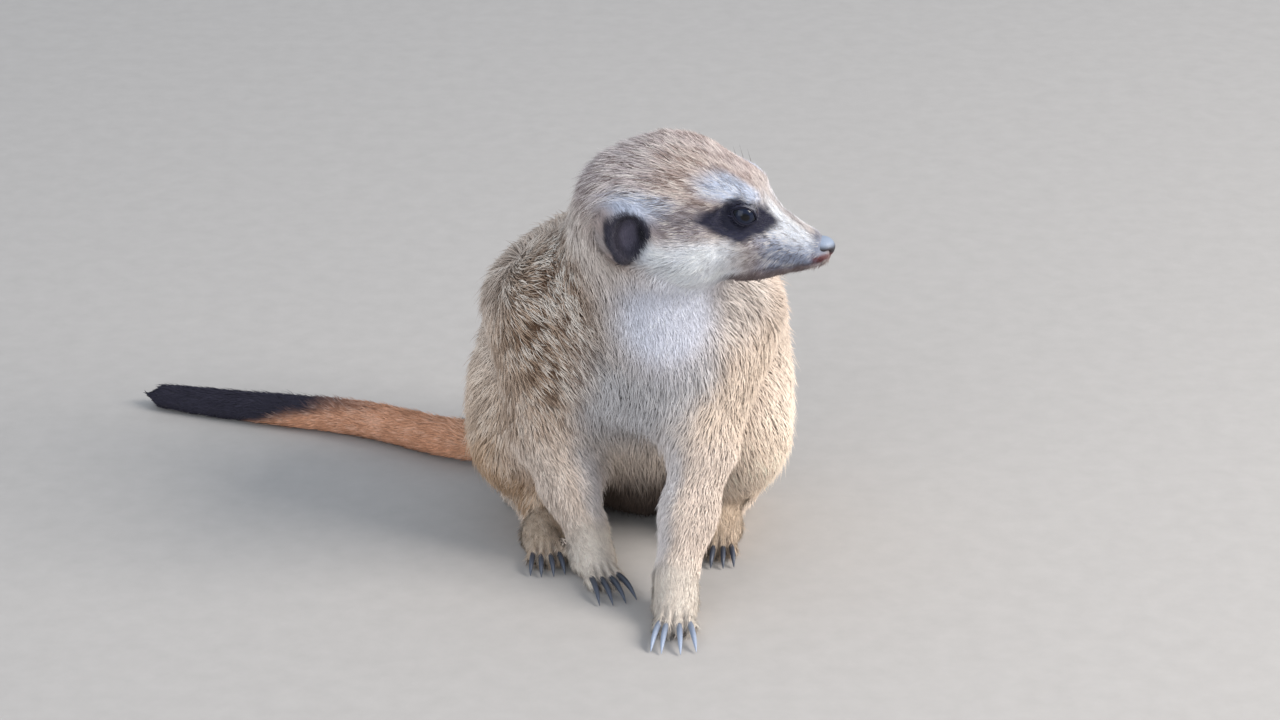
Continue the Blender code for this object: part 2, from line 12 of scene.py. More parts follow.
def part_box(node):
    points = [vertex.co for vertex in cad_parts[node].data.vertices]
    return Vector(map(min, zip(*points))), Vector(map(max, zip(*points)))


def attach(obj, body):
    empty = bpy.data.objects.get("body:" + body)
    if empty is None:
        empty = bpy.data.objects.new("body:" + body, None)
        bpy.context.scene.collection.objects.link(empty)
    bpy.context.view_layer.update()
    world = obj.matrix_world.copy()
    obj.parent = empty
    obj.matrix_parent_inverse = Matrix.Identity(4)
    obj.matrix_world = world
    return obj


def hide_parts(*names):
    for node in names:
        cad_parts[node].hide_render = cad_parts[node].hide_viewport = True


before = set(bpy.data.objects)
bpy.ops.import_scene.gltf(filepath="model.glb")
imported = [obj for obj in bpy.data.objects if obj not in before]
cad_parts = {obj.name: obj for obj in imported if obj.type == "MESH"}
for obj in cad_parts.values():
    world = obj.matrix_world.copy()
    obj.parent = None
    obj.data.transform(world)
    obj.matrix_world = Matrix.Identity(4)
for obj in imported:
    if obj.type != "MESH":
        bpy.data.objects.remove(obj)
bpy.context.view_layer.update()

MM = 0.001
rng = np.random.default_rng(508)

# ---- The head and its eyes, as in the solids ----
HEAD_STAND = (11, -29, 134)
HEAD_YAW = -10
HEAD_PITCH = 2
EYE_PLACE = (23.3, 10.6, 3.0)
EYE_RADIUS = 4.9
EYE_AXIS = (0.30, 0.95, 0.06)
EYE_SLANT = 20
EYE_OPENING = (4.6, 2.6, 2.2)
LID_HEIGHT = 0.35
LID_CREASE = 1.7
NOSE_TIP = (51.6, 0, -10.3)
MOUTH = ((50.4, 0.8, -13.4), (47.2, 4.4, -13.8), (37.0, 6.6, -15.8), (27.0, 8.2, -17.6))

# ---- Eggs, each a middle and three radii: two in the room, then two in the head's frame ----
THROAT_EGG = ((10, -41, 98), (20, 21, 22))
SHOULDER_EGG = ((-28, -20, 92), (19, 24, 34))
NOSE_EGG = ((47.8, 0, -10.0), (4.1, 4.0, 3.4))
NOSE_BARE = ((49.2, 0, -10.1), (4.2, 4.6, 3.9))

# ---- The skin's mesh ----
VOXEL = 1.4
SEAM_OVERLAP = 0.3  # how far the solids are swelled, so that they meet
SKIN_SMOOTHING = 8
PART_BLENDING = 26
LID_REACH = 9.5  # from an eye's centre, where the skin is finest
LIP_GROOVE = 0.55
EAR_CUP = 1.3
TOE_GAP = 0.9
TOE_GAP_LENGTH = 7


def tone(red, green, blue):
    """A colour as it is seen, from 0 to 255, as the linear light that a shader takes."""
    seen = np.array((red, green, blue)) / 255
    return np.where(seen < 0.04045, seen / 12.92, ((seen + 0.055) / 1.055) ** 2.4)


# ---- Coat colours ----
CROWN = tone(204, 184, 176)
# Painted highlight: a lighter colour for the top and rim of the crown, where the light falls
CROWN_TOP_HIGHLIGHT = tone(226, 214, 218)
WHITE = tone(243, 247, 255)
BROW = tone(208, 218, 240)
MUZZLE = tone(154, 164, 188)
TEMPLE = tone(168, 160, 166)
BRIDGE = tone(202, 196, 198)
EYE_PATCH = tone(52, 52, 68)
EAR_BLACK = tone(62, 60, 72)
EAR_HAIR = tone(116, 110, 128)
LIP = tone(84, 66, 68)
MOUTH_RED = tone(96, 46, 48)
# Dark jaw fur, deepened by painted shade on the jaw's underside
JAW_DARK_FUR_AND_SHADE = tone(116, 102, 102)
CHIN = tone(148, 136, 136)
THROAT = tone(226, 228, 240)
NECK = tone(220, 208, 200)
SADDLE = tone(208, 190, 176)
SHOULDER_BROWN = tone(190, 160, 134)
FLANK = tone(240, 222, 206)
CHEST = tone(204, 202, 204)
BELLY = tone(226, 204, 182)
# Dark underbelly fur together with painted shade, low between the legs
BELLY_DARK_AND_SHADE = tone(80, 70, 64)
ARM = tone(230, 210, 192)
ARM_SHADED = tone(208, 184, 164)
FOREARM = tone(232, 214, 200)
INNER_ARM = tone(232, 226, 226)
PAW = tone(248, 234, 220)
THIGH = tone(246, 226, 206)
THIGH_SHADED = tone(204, 172, 142)
HIND_FOOT = tone(224, 200, 176)
TAIL_TAN = tone(226, 166, 132)
TAIL_BLACK = tone(54, 52, 64)
BAND = tone(138, 112, 94)
DARK_SHARE = (0.36, 0.31, 0.28)
CREAM_HAIR = tone(246, 238, 228)
UNDERCOAT = tone(150, 132, 120)
WHISKER = tone(90, 80, 78)

# ---- Colours of the eyes, nose, claws and floor ----
# A dark iris, with a blue tint that is a painted reflection
IRIS_AND_BLUE_SHEEN = tone(18, 26, 46)
PUPIL = tone(7, 7, 10)
EYE_WHITE = tone(12, 13, 20)
EYE_CORNER = tone(128, 92, 94)
LID_EDGE = tone(34, 34, 46)
# Painted highlight: the blue-grey light on the top of the black nose
NOSE_TOP_HIGHLIGHT = tone(140, 152, 172)
NOSE_UNDER = tone(44, 42, 48)
NOSE_LIP = tone(92, 46, 48)
NOSTRIL = tone(44, 20, 24)
# Painted highlight: a lit, paler copy of the claws' dark colour, used on the left forepaw
CLAW_LIT_HIGHLIGHT = tone(158, 170, 192)
CLAW_DARK = tone(78, 84, 98)
FLOOR_TONES = (tone(172, 168, 165), tone(186, 182, 179))

# ---- Each part's coat: depth of the skin under the tips, length and width of a tuft,
# lift at its root in degrees, tufts per square millimetre, colour, mottling, and lie ----
Part = collections.namedtuple("Part", "depth length width lift number colour mottle lie")
PARTS = {
    "head": Part(1.9, 4.6, 0.34, 24, 3.4, CROWN, 0.9, (-1, 0, 0.1)),
    "ears": Part(0.5, 2.3, 0.24, 30, 5.0, CROWN, 0.15, (-0.3, 0, 1)),
    "nose": Part(0.9, 1.0, 0.2, 15, 0, LIP, 0, (-1, 0, 0)),
    "neck": Part(3.8, 6.8, 0.38, 30, 2.1, NECK, 0.8, (0.1, 0.3, -0.95)),
    "trunk": Part(4.2, 7.4, 0.40, 30, 1.95, SADDLE, 0.55, (-0.02, 0.45, -0.9)),
    "shoulder_left": Part(3.4, 6.4, 0.38, 28, 2.0, ARM, 0.35, (-0.3, -0.3, -0.9)),
    "shoulder_right": Part(3.4, 6.4, 0.38, 28, 2.0, ARM_SHADED, 0.55, (0.3, -0.2, -0.9)),
    "forearm_left": Part(1.7, 3.8, 0.34, 28, 3.0, FOREARM, 0.3, (-0.35, -0.4, -0.85)),
    "forearm_right": Part(1.7, 3.8, 0.34, 28, 3.0, FOREARM, 0.3, (0.45, -0.1, -0.9)),
    "forepaw_left": Part(0.9, 3.1, 0.30, 32, 4.4, PAW, 0.5, (0, -1, -0.35)),
    "forepaw_right": Part(0.9, 3.1, 0.30, 32, 4.4, PAW, 0.5, (0.34, -0.94, -0.35)),
    "thigh_left": Part(3.4, 6.8, 0.38, 26, 2.0, THIGH, 0.25, (0.2, -0.15, -0.95)),
    "thigh_right": Part(3.4, 6.8, 0.38, 26, 2.0, THIGH_SHADED, 0.4, (-0.35, 0.0, -0.95)),
    "hindfoot_left": Part(1.0, 3.2, 0.30, 32, 4.4, HIND_FOOT, 0.5, (-0.05, -1, -0.25)),
    "hindfoot_right": Part(1.0, 3.2, 0.30, 32, 4.4, HIND_FOOT, 0.5, (0.1, -1, -0.25)),
    "tail": Part(1.9, 4.8, 0.36, 20, 3.0, TAIL_TAN, 0.2, (-1, 0, 0)),
    "tail_tip": Part(1.9, 5.2, 0.36, 20, 3.2, TAIL_BLACK, 0.1, (-1, 0, 0)),
}
PART_NAMES = list(PARTS)
PART_OF_NODE = dict(
    head="head", ear_left="ears", ear_right="ears", eye_left="head", eye_right="head", nose="nose",
    neck="neck", trunk="trunk", foreleg_left_upper="shoulder_left",
    foreleg_right_upper="shoulder_right", foreleg_left_lower="forearm_left",
    foreleg_right_lower="forearm_right", forepaw_left="forepaw_left", forepaw_right="forepaw_right",
    hindleg_left="thigh_left", hindleg_right="thigh_right", hindfoot_left="hindfoot_left",
    hindfoot_right="hindfoot_right", tail_base="tail", tail_middle="tail", tail_tip="tail_tip",
)
CLAW_NODES = sorted(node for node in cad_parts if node.startswith("claw"))

# ---- The tufts ----
MOST_TUFTS = 19500  # bent ones in a piece
MAP_EDGE = 0.004  # left free round the unwrap
PATCH = 0.003  # a tuft's size on the unwrap
GUARD_HAIRS = 0.07  # their share of the tufts
GUARD_LENGTH = 1.3
GUARD_WIDTH = 0.7
FLOOR_CLEARANCE = 0.12
LONG_CLUMP = 3.2  # the cells of the clumps of long and short coat
SHORT_CLUMP = 1.6
STREAK = (-0.93, 0, 0.37)  # the way that the head's streaks run, how long they are, and their cells
STREAK_STRETCH = 0.76
STREAK_WIDTH = 1.1
TAIL_ENDS = (-185, -25)  # where the tail's fitted middle line holds

# ---- Floor, light and camera ----
FLOOR_HALF = 6000
SKY = (0.80, 0.89, 1.0, 1)
SKY_STRENGTH = 0.68
LIGHTS_AIM = (0, 10, 70)
CAMERA_AIM = np.array((0, 0, 67.5))
CAMERA_DISTANCE = 1280
CAMERA_TILT = 23
CAMERA_LENS = 108.84


# ---- Working with arrays ----


def length_of(vectors):
    """Each row's length."""
    return np.linalg.norm(vectors, axis=-1)


def unit(vectors):
    """Each row divided by its length."""
    return vectors / np.maximum(length_of(vectors), 1e-9)[..., None]


def fade(value, low, high):
    """0 below low and 1 above high, with an even S between."""
    share = np.clip((value - low) / (high - low), 0, 1)
    return share * share * (3 - 2 * share)


def under(value, low, high):
    """1 below low and 0 above high, with an even S between."""
    return fade(-value, -high, -low)


def bell(*offsets):
    """1 where all the offsets are 0, falling smoothly to about 0 where one of them is 2."""
    return np.exp(-sum(offset**2 for offset in offsets))


def hashed(cells, seed):
    """An even random number from 0 to 1 for each whole-numbered cell."""
    primes = np.array([73856093, 19349663, 83492791], np.int64)
    key = (cells.astype(np.int64) @ primes + seed * 7919).astype(np.uint64)
    for multiplier in (0xBF58476D1CE4E5B9, 0x94D049BB133111EB):
        key = (key ^ (key >> np.uint64(29))) * np.uint64(multiplier)
    return (key >> np.uint64(40)).astype(float) / 2**24


def ripple(points, size, seed):
    """Smooth noise from -1 to 1: random values on a grid of a given size, blended between its corners."""
    scaled = points / size
    cell = np.floor(scaled)
    part = scaled - cell
    part = part * part * (3 - 2 * part)
    total = np.zeros(len(points))
    for corner in np.ndindex(2, 2, 2):
        weight = np.prod(np.where(corner, part, 1 - part), axis=1)
        total += weight * hashed(cell + corner, seed)
    return total * 2 - 1


def clumps(points, size, seed):
    """The nearest of the points scattered one to a cell, and a random number that belongs to it."""
    cell = np.floor(points / size)
    nearest = np.full(len(points), np.inf)
    centre = np.zeros_like(points)
    number = np.zeros(len(points))
    for step in np.ndindex(3, 3, 3):
        there = cell + np.array(step) - 1
        place = (there + np.stack([hashed(there, seed + k) for k in range(3)], axis=1)) * size
        distance = ((place - points) ** 2).sum(axis=1)
        closer = distance < nearest
        nearest = np.where(closer, distance, nearest)
        centre[closer] = place[closer]
        number[closer] = hashed(there, seed + 3)[closer]
    return centre, number


def mixed(a, b, share):
    """Rows of a, turned into b by a share from 0 to 1."""
    return a + (b - a) * np.asarray(share)[..., None]


def painted(colours, where, *paints):
    """Colours with some paints put on in turn, each a colour and its share, as far as where is 1."""
    for colour, share in paints:
        colours = mixed(colours, colour, share * where)
    return colours


def share_of(weights, *parts):
    """Each point's share in some parts together."""
    return weights[:, [PART_NAMES.index(part) for part in parts]].sum(axis=1)


def in_egg(points, egg):
    """Distance from an egg's middle, 1 at its surface."""
    middle, radii = egg
    return length_of((points - middle) / radii)


# ---- Frames and meshes ----


def turning(yaw, pitch):
    """A rotation: pitch nose-down about y, then yaw about z, in degrees."""
    yaw, pitch = math.radians(yaw), math.radians(pitch)
    return np.array(Matrix.Rotation(yaw, 3, "Z") @ Matrix.Rotation(pitch, 3, "Y"))


def middle_of(node):
    low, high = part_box(node)
    return np.array((low + high) / 2) / MM


HEAD_TURN = turning(HEAD_YAW, HEAD_PITCH)
SHIFT = (
    (middle_of("eye_left") + middle_of("eye_right")) / 2
    - HEAD_TURN @ np.array((EYE_PLACE[0], 0, EYE_PLACE[2]))
    - np.array(HEAD_STAND)
)


def to_head(points):
    """Places in the room, in the head's own frame."""
    return (points - np.array(HEAD_STAND)) @ HEAD_TURN


def from_head(points):
    """Places in the head's own frame, in the room."""
    return np.asarray(points, float) @ HEAD_TURN.T + np.array(HEAD_STAND)


def read_mesh(mesh):
    """The points, in the room, and the faces of a mesh whose faces all have as many sides."""
    points = np.empty(len(mesh.vertices) * 3, np.float32)
    mesh.vertices.foreach_get("co", points)
    corners = np.empty(len(mesh.loops), np.int32)
    mesh.loops.foreach_get("vertex_index", corners)
    points = points.reshape(-1, 3).astype(float) / MM - SHIFT
    return points, corners.reshape(len(mesh.polygons), -1)


def solid(node):
    """The points, in the room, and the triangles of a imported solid."""
    return read_mesh(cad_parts[node].data)


def fill(target, field, values, kind=np.float32):
    """Sets one field of a whole collection from an array."""
    target.foreach_set(field, np.asarray(values, kind).ravel())


def make_object(name, points, faces, colours=None, uv=None, facing=None):
    """A mesh object from arrays: points in the room, faces that all have as many sides, and for each
    point a colour and the way that it is shaded to face."""
    mesh = bpy.data.meshes.new(name)
    mesh.vertices.add(len(points))
    fill(mesh.vertices, "co", (points + SHIFT) * MM)
    mesh.loops.add(faces.size)
    fill(mesh.loops, "vertex_index", faces, np.int32)
    mesh.polygons.add(len(faces))
    fill(mesh.polygons, "loop_start", np.arange(0, faces.size, faces.shape[1]), np.int32)
    mesh.update(calc_edges=True)
    mesh.shade_smooth()
    if colours is not None:
        layer = mesh.color_attributes.new("Coat", "FLOAT_COLOR", "POINT")
        fill(layer.data, "color", np.column_stack([colours, np.ones(len(colours))]))
    if uv is not None:
        fill(mesh.uv_layers.new(name="OFBake").uv, "vector", uv)
    if facing is not None:
        mesh.normals_split_custom_set_from_vertices(facing.astype(np.float32))
    obj = bpy.data.objects.new(name, mesh)
    bpy.context.scene.collection.objects.link(obj)
    return obj


def dress(obj, material, replaced=()):
    """Gives a piece its material, lets it ride with the solids, and hides the solids that it replaces."""
    obj.data.materials.append(material)
    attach(obj, "root")
    if replaced:
        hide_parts(*replaced)


def grid(steps, around, closed=False):
    """A grid over some steps and the angles round a circle: the step and angle at each point, and its
    four-sided faces. A closed grid joins its last step to its first."""
    angles = np.linspace(0, 2 * math.pi, around, endpoint=False)
    step, angle = (values.ravel() for values in np.meshgrid(steps, angles, indexing="ij"))
    rows = len(steps)
    row, column = np.meshgrid(np.arange(rows if closed else rows - 1), np.arange(around), indexing="ij")
    here, below = row * around, (row + 1) % rows * around
    beside = (column + 1) % around
    faces = np.stack([here + column, here + beside, below + beside, below + column], axis=-1)
    return step, angle, faces.reshape(-1, 4)


def edges_of(faces):
    """Each pair of neighbouring points, once."""
    pairs = np.stack([faces, np.roll(faces, -1, axis=1)], axis=-1).reshape(-1, 2)
    return np.unique(np.sort(pairs, axis=1), axis=0)


def spread(values, edges, share=0.5, steps=1):
    """Each point's values moved a share of the way to the mean of its neighbours'."""
    a, b = edges.T
    count = len(values)
    neighbours = np.bincount(a, minlength=count) + np.bincount(b, minlength=count)
    share = np.broadcast_to(share, count)[:, None]
    for _ in range(steps):
        sums = [
            np.bincount(a, values[b, k], count) + np.bincount(b, values[a, k], count)
            for k in range(values.shape[1])
        ]
        mean = np.stack(sums, axis=1) / np.maximum(neighbours, 1)[:, None]
        values = values + share * (mean - values)
    return values


def facings(points, triangles):
    """Each triangle's normal, as long as twice its area."""
    a, b, c = (points[triangles[:, k]] for k in range(3))
    return np.cross(b - a, c - a)


def normals_of(points, triangles):
    """Normals at the points, each the mean of its triangles' weighted by area."""
    face = facings(points, triangles)
    total = [
        sum(np.bincount(triangles[:, k], face[:, axis], len(points)) for k in range(3))
        for axis in range(3)
    ]
    return unit(np.stack(total, axis=1))


# ---- The skin ----


def joined(shapes):
    """Several surfaces, each with its points, its faces and maybe more, as one."""
    starts = np.cumsum([0, *(len(shape[0]) for shape in shapes)])
    moved = [
        (points, faces + start, *more)
        for (points, faces, *more), start in zip(shapes, starts, strict=False)
    ]
    return [np.concatenate(arrays) for arrays in zip(*moved, strict=True)]


def welded(points, triangles):
    """The same triangles with the points that share a place made one."""
    _, first, index = np.unique(
        np.round(points * 200).astype(np.int64), axis=0, return_index=True, return_inverse=True
    )
    return points[first], index.reshape(-1)[triangles]


def remeshed(points, triangles):
    """One closed mesh of even squares round all the solids, with only its outer shell kept."""
    obj = make_object("skin_source", points, triangles)
    remesh = obj.modifiers.new("Remesh", "REMESH")
    remesh.mode = "VOXEL"
    remesh.voxel_size = VOXEL * MM
    graph = bpy.context.evaluated_depsgraph_get()
    mesh = bpy.data.meshes.new_from_object(obj.evaluated_get(graph))
    points, faces = read_mesh(mesh)
    bpy.data.objects.remove(obj)
    bpy.data.meshes.remove(mesh)
    shell = np.arange(len(points))
    edges = edges_of(faces)
    while True:
        lowest = shell.copy()
        np.minimum.at(lowest, edges[:, 0], shell[edges[:, 1]])
        np.minimum.at(lowest, edges[:, 1], shell[edges[:, 0]])
        lowest = lowest[lowest]
        if (lowest == shell).all():
            break
        shell = lowest
    kept = shell == np.bincount(shell).argmax()
    renumbered = np.cumsum(kept) - 1
    return points[kept], renumbered[faces[kept[faces[:, 0]]]]


def finer(points, faces, chosen):
    """Cuts each edge between chosen points in two, and turns all faces into triangles."""
    obj = make_object("finer", points, faces)
    bm = bmesh.new()
    bm.from_mesh(obj.data)
    bm.verts.ensure_lookup_table()
    inside = [e for e in bm.edges if chosen[e.verts[0].index] and chosen[e.verts[1].index]]
    bmesh.ops.subdivide_edges(bm, edges=inside, cuts=1, use_grid_fill=True)
    bmesh.ops.triangulate(bm, faces=bm.faces[:])
    bm.to_mesh(obj.data)
    bm.free()
    points, faces = read_mesh(obj.data)
    bpy.data.objects.remove(obj)
    return points, faces


def near_eye(head_points, side):
    """Places beside an eye as if its ball were a map: millimetres towards the nose and up, the
    distance outside the lids, and the distance from the eye's centre."""
    centre, axis, ahead, up = eye_frame(side)
    out = head_points - centre
    radius = length_of(out)
    flat = np.stack([out @ ahead, out @ up], axis=1)
    across = np.maximum(length_of(flat), 1e-9)
    turned = np.arctan2(across, out @ axis) * EYE_RADIUS
    places = flat / across[:, None] * turned[:, None]
    return places, turned - lid_reach(np.arctan2(places[:, 1], places[:, 0])), radius


def nearer_eye(head_points):
    """The distance outside the lids and the distance from the ball's centre, for the nearer eye."""
    return np.minimum(*(near_eye(head_points, side)[1:] for side in (-1, 1)))


def eye_frame(side):
    """An eye's centre and the directions that it looks in, that its front corner lies in, and up."""
    x, y, z = EYE_PLACE
    centre = np.array((x, side * y, z))
    axis = unit(np.array((EYE_AXIS[0], side * EYE_AXIS[1], EYE_AXIS[2])))
    slant = math.radians(EYE_SLANT)
    ahead = np.array((math.cos(slant), 0, -math.sin(slant)))
    ahead = unit(ahead - axis * (ahead @ axis))
    up = np.cross(axis, ahead)
    return centre, axis, ahead, up * np.sign(up[2])


def lid_reach(angle):
    """Distance from the middle of the opening to the lids: an almond of two arches, with the upper
    higher. It is the root of reach * sin = height * (1 - (reach * cos / half width) squared)."""
    wide, over, under = EYE_OPENING
    height = np.where(np.sin(angle) > 0, over, under)
    rise, run = np.abs(np.sin(angle)), np.abs(np.cos(angle))
    return 2 * height / (rise + np.sqrt(rise**2 + 4 * height**2 * run**2 / wide**2))


def lids(points):
    """Moves the skin round each eye along the eye's radii: over the ball, higher by a share of its
    height and lower in a crease by the lids, and under the ball inside the opening."""
    head = to_head(points)
    for side in (-1, 1):
        centre = eye_frame(side)[0]
        _, outside, radius = near_eye(head, side)
        crease = 0.3 * bell((outside - LID_CREASE) / 0.45)
        lid = EYE_RADIUS + LID_HEIGHT - crease - 0.11 * np.maximum(outside, 0) ** 1.6
        overlap = np.maximum(1.2 - np.abs(radius - lid), 0) / 1.2
        drawn = np.maximum(radius, lid) + overlap**2 * 0.3
        drawn = np.where(outside < 0, np.minimum(radius, EYE_RADIUS - 1.1), drawn)
        close = under(radius, 9.0, 11.5)
        wanted = radius + (drawn - radius) * close
        head = centre + (head - centre) * (wanted / np.maximum(radius, 1e-6))[:, None]
    return from_head(head)


def beside_mouth(head_points):
    """Distance from the line between the lips."""
    line = np.array(MOUTH)
    mirrored = head_points * (1, 0, 1) + np.abs(head_points) * (0, 1, 0)
    nearest = np.full(len(head_points), np.inf)
    for a, b in zip(line, line[1:], strict=False):
        along = b - a
        share = np.clip((mirrored - a) @ along / (along @ along), 0, 1)
        distance = length_of(mirrored - a - share[:, None] * along)
        nearest = np.minimum(nearest, distance)
    return nearest


def coat_at(points, normals, weights):
    """Depth, length, width, lift, number and mottling of the coat at each point, from its parts' own."""
    coat = {
        field: weights @ np.array([getattr(part, field) for part in PARTS.values()], float)
        for field in ("depth", "length", "width", "lift", "number", "mottle")
    }

    def change(share, **changes):
        """Changes fields by the given shares of themselves, where share is 1."""
        for field, by in changes.items():
            coat[field] *= 1 + by * share

    head = to_head(points)
    on_head, on_trunk = share_of(weights, "head"), share_of(weights, "trunk")
    off_head = 1 - on_head
    x, y, z = points.T
    face = on_head * fade(head[:, 0], -4, 30)
    nape = on_head * np.maximum(under(head[:, 0], -18, -2), under(head[:, 2], -17, -11) * (1 - face))
    smooth = bare_throat(points)
    change(face, depth=-0.62, length=-0.56, width=-0.36, lift=-0.2, number=0.9, mottle=-0.45)
    change(nape, depth=0.75, length=0.35, width=0.2)
    change(smooth, depth=-0.55, length=-0.5, width=-0.25, lift=-0.7, number=0.5, mottle=-1)

    haunches = on_trunk * under(z, 56, 84) * under(y, 16, 34)
    chest = under(np.abs(x - 2), 16, 26) * under(y, -6, 8) * off_head
    change(haunches, mottle=-0.7)
    change(chest, mottle=-0.85)
    coat["mottle"] += 0.55 * dark_shoulder(points) * off_head * (1 - smooth)
    change(fade(x, 12, 30) * off_head, mottle=-0.6)
    change(cheek_share(head) * on_head, mottle=-0.6)
    coat["mottle"] += 0.4 * spot(head, (29, -7.5), (13, 6), 20, 0.5) * on_head

    change(under(normals[:, 2], -0.8, -0.4) * on_trunk, number=-0.5)
    change(under(z, 1.0, 7.0), depth=-0.9)
    long_coat = fade(coat["length"], 4.0, 6.0)
    wrist = under(z, 12, 38) * under(coat["length"], 3.4, 5.0)
    change(wrist, length=-0.2, width=-0.15)
    to_claw = np.min([length_of(points - claw_ends(node)[0]) for node in CLAW_NODES], axis=0)
    change(under(to_claw, 2.5, 6.0), length=0.5)
    change(share_of(weights, "tail_tip") * under(x, -183, -170), length=-0.55)
    change(under(z, 2.0, 16.0) * long_coat, lift=-0.75, length=-0.5)
    return coat


def bare_throat(points):
    """1 on the smooth front of the throat and 0 away from it."""
    return under(in_egg(points, THROAT_EGG), 0.5, 1.3)


def dark_shoulder(points):
    """1 on the streaky brown side of the neck and shoulder on the animal's right, and 0 away from it."""
    return under(in_egg(points, SHOULDER_EGG), 0.6, 1.2)


def lie_at(points, normals, weights):
    """The way the coat lies: each part's own direction, from the nose back over the head and along
    the tail to its tip, laid down on the skin."""

    def laid(ways):
        """The ways without their share out of the skin."""
        return ways - normals * (ways * normals).sum(axis=1, keepdims=True)

    x, y, z = points.T
    lie = weights @ np.array([part.lie for part in PARTS.values()], float)
    head = to_head(points)
    back = unit(head - np.array((NOSE_TIP[0] + 6, 0, NOSE_TIP[2]))) @ HEAD_TURN.T
    on_head = share_of(weights, "head")[:, None]
    nape = np.outer(under(head[:, 0], -26, -4), (0, 0, -0.9))
    jaw = np.outer(under(head[:, 2], -15, -8), (-0.1, 0.1, -0.7))
    lie += on_head * (back + nape + jaw + (0, 0, -0.15) - np.array(PARTS["head"].lie))
    swirl = share_of(weights, "trunk", "neck") * under(x, -18, 0) * fade(z, 62, 86) * under(y, -6, 22)
    lie += np.outer(swirl, (0.75, -0.5, 0.1))
    lie += np.outer(dark_shoulder(points), (0.7, -0.3, 0.2)) * (1 - on_head)
    slope = np.polyval(np.polyder(TAIL_LINE), np.clip(x, *TAIL_ENDS))
    along_tail = np.stack([np.full_like(x, -1), -slope, np.zeros_like(x)], axis=1)
    on_tail = share_of(weights, "tail", "tail_tip")[:, None]
    lie += on_tail * (unit(along_tail) - np.array(PARTS["tail"].lie))
    flat = laid(lie)
    steep = 1 - length_of(flat) / np.maximum(length_of(lie), 1e-9)
    outward = laid(points * (1, 1, 0) - (0, 20, 0))
    return unit(unit(flat) + unit(outward) * fade(steep, 0.6, 0.9)[:, None] * 0.8)


def skin_arrays():
    """The skin as points and triangles, with its normals and each point's share in each part."""
    solids = []
    for node, part in PART_OF_NODE.items():
        here, faces = solid(node)
        solids.append((here, faces, np.full(len(faces), PART_NAMES.index(part))))
    points, triangles, parts = joined(solids)
    tree = BVHTree.FromPolygons(points.tolist(), triangles.tolist())
    points, triangles = welded(points, triangles)
    points = points + normals_of(points, triangles) * SEAM_OVERLAP
    points, faces = remeshed(points, triangles)
    edges = edges_of(faces)
    head = to_head(points)
    fine = (head[:, 0] > -24) & (head[:, 2] > -22) & (np.abs(head[:, 1]) < 32)
    fine |= (points[:, 2] < 17) & (points[:, 1] < 14)
    steady = np.where(fine, 0.35, 1.0)
    for _ in range(SKIN_SMOOTHING):
        for share in (0.55, -0.57):
            points = spread(points, edges, share * steady)
    points, faces = finer(points, faces, fine)
    points, faces = finer(points, faces, nearer_eye(to_head(points))[1] < LID_REACH)
    edges = edges_of(faces)
    found = [tree.find_nearest(Vector(point))[2] for point in points]
    weights = spread(np.eye(len(PART_NAMES))[parts[found]], edges, 0.7, PART_BLENDING)
    normals = normals_of(points, faces)
    depth = coat_at(points, normals, weights)["depth"]
    points = points - normals * (depth + SEAM_OVERLAP)[:, None]
    points = spread(points, edges, np.clip(depth / 4, 0, 0.8) * 0.6, 3)
    points[:, 2] = np.maximum(points[:, 2], 0.05)
    points = lids(points)
    pressed = LIP_GROOVE * bell(beside_mouth(to_head(points)) / 0.6)
    pressed += EAR_CUP * ear_cup(to_head(points)) * share_of(weights, "ears")
    pressed += TOE_GAP * between_toes(points)
    points = points - normals_of(points, faces) * pressed[:, None]
    return points, faces, normals_of(points, faces), weights


def ear_cup(head_points):
    """1 in the hollow of each ear and 0 outside it: an egg that narrows downwards."""
    x, z = head_points[:, 0] + 10.8, head_points[:, 2] + 4.4
    half = 4.0 + 0.13 * z
    inside = under(np.hypot(x / half, z / 7.2), 0.55, 1.15)
    return inside * fade(np.abs(head_points[:, 1]), 19.0, 21.5)


def long_axis(points):
    """The middle of some points, their long axis, turned to the front, and their places on it."""
    middle = points.mean(axis=0)
    axis = np.linalg.svd(points - middle, full_matrices=False)[2][0]
    axis = axis * np.sign(-axis[1])
    return middle, axis, (points - middle) @ axis


def claw_ends(node):
    """Root and tip of a claw, on its solid's longest axis."""
    middle, axis, along = long_axis(solid(node)[0])
    return middle + axis * along.min(), middle + axis * along.max()


def between_toes(points):
    """1 on the lines that part neighbouring toes, which run back over the paw from between two claws."""
    found = np.zeros(len(points))
    for paw in ("forepaw_left", "forepaw_right", "hindfoot_left", "hindfoot_right"):
        ends = [claw_ends(f"claw_{paw}_{number}") for number in range(1, 5)]
        for (root_a, tip_a), (root_b, tip_b) in zip(ends, ends[1:], strict=False):
            ahead = unit((tip_a - root_a + tip_b - root_b) * (1, 1, 0))
            out = points - (root_a + root_b) / 2
            along, across = out @ ahead, out @ np.cross(ahead, (0, 0, 1))
            share = fade(along, -TOE_GAP_LENGTH, -TOE_GAP_LENGTH + 5) * under(along, 2, 4)
            near = length_of(out) < TOE_GAP_LENGTH + 5
            found = np.maximum(found, bell(across / 0.6) * share * near)
    return found


# ---- Markings ----


def spot(head_points, centre, radii, tilt=0.0, soft=0.25):
    """1 inside an oval on the side of the head, and 0 outside it: its radii are along the head and
    up it, and its front end dips by tilt degrees."""
    angle = math.radians(tilt)
    x = head_points[:, 0] - centre[0]
    z = head_points[:, 2] - centre[1]
    along = x * math.cos(angle) - z * math.sin(angle)
    up = x * math.sin(angle) + z * math.cos(angle)
    size = np.sqrt((along / radii[0]) ** 2 + (up / radii[1]) ** 2)
    return under(size, 1 - soft, 1 + soft)


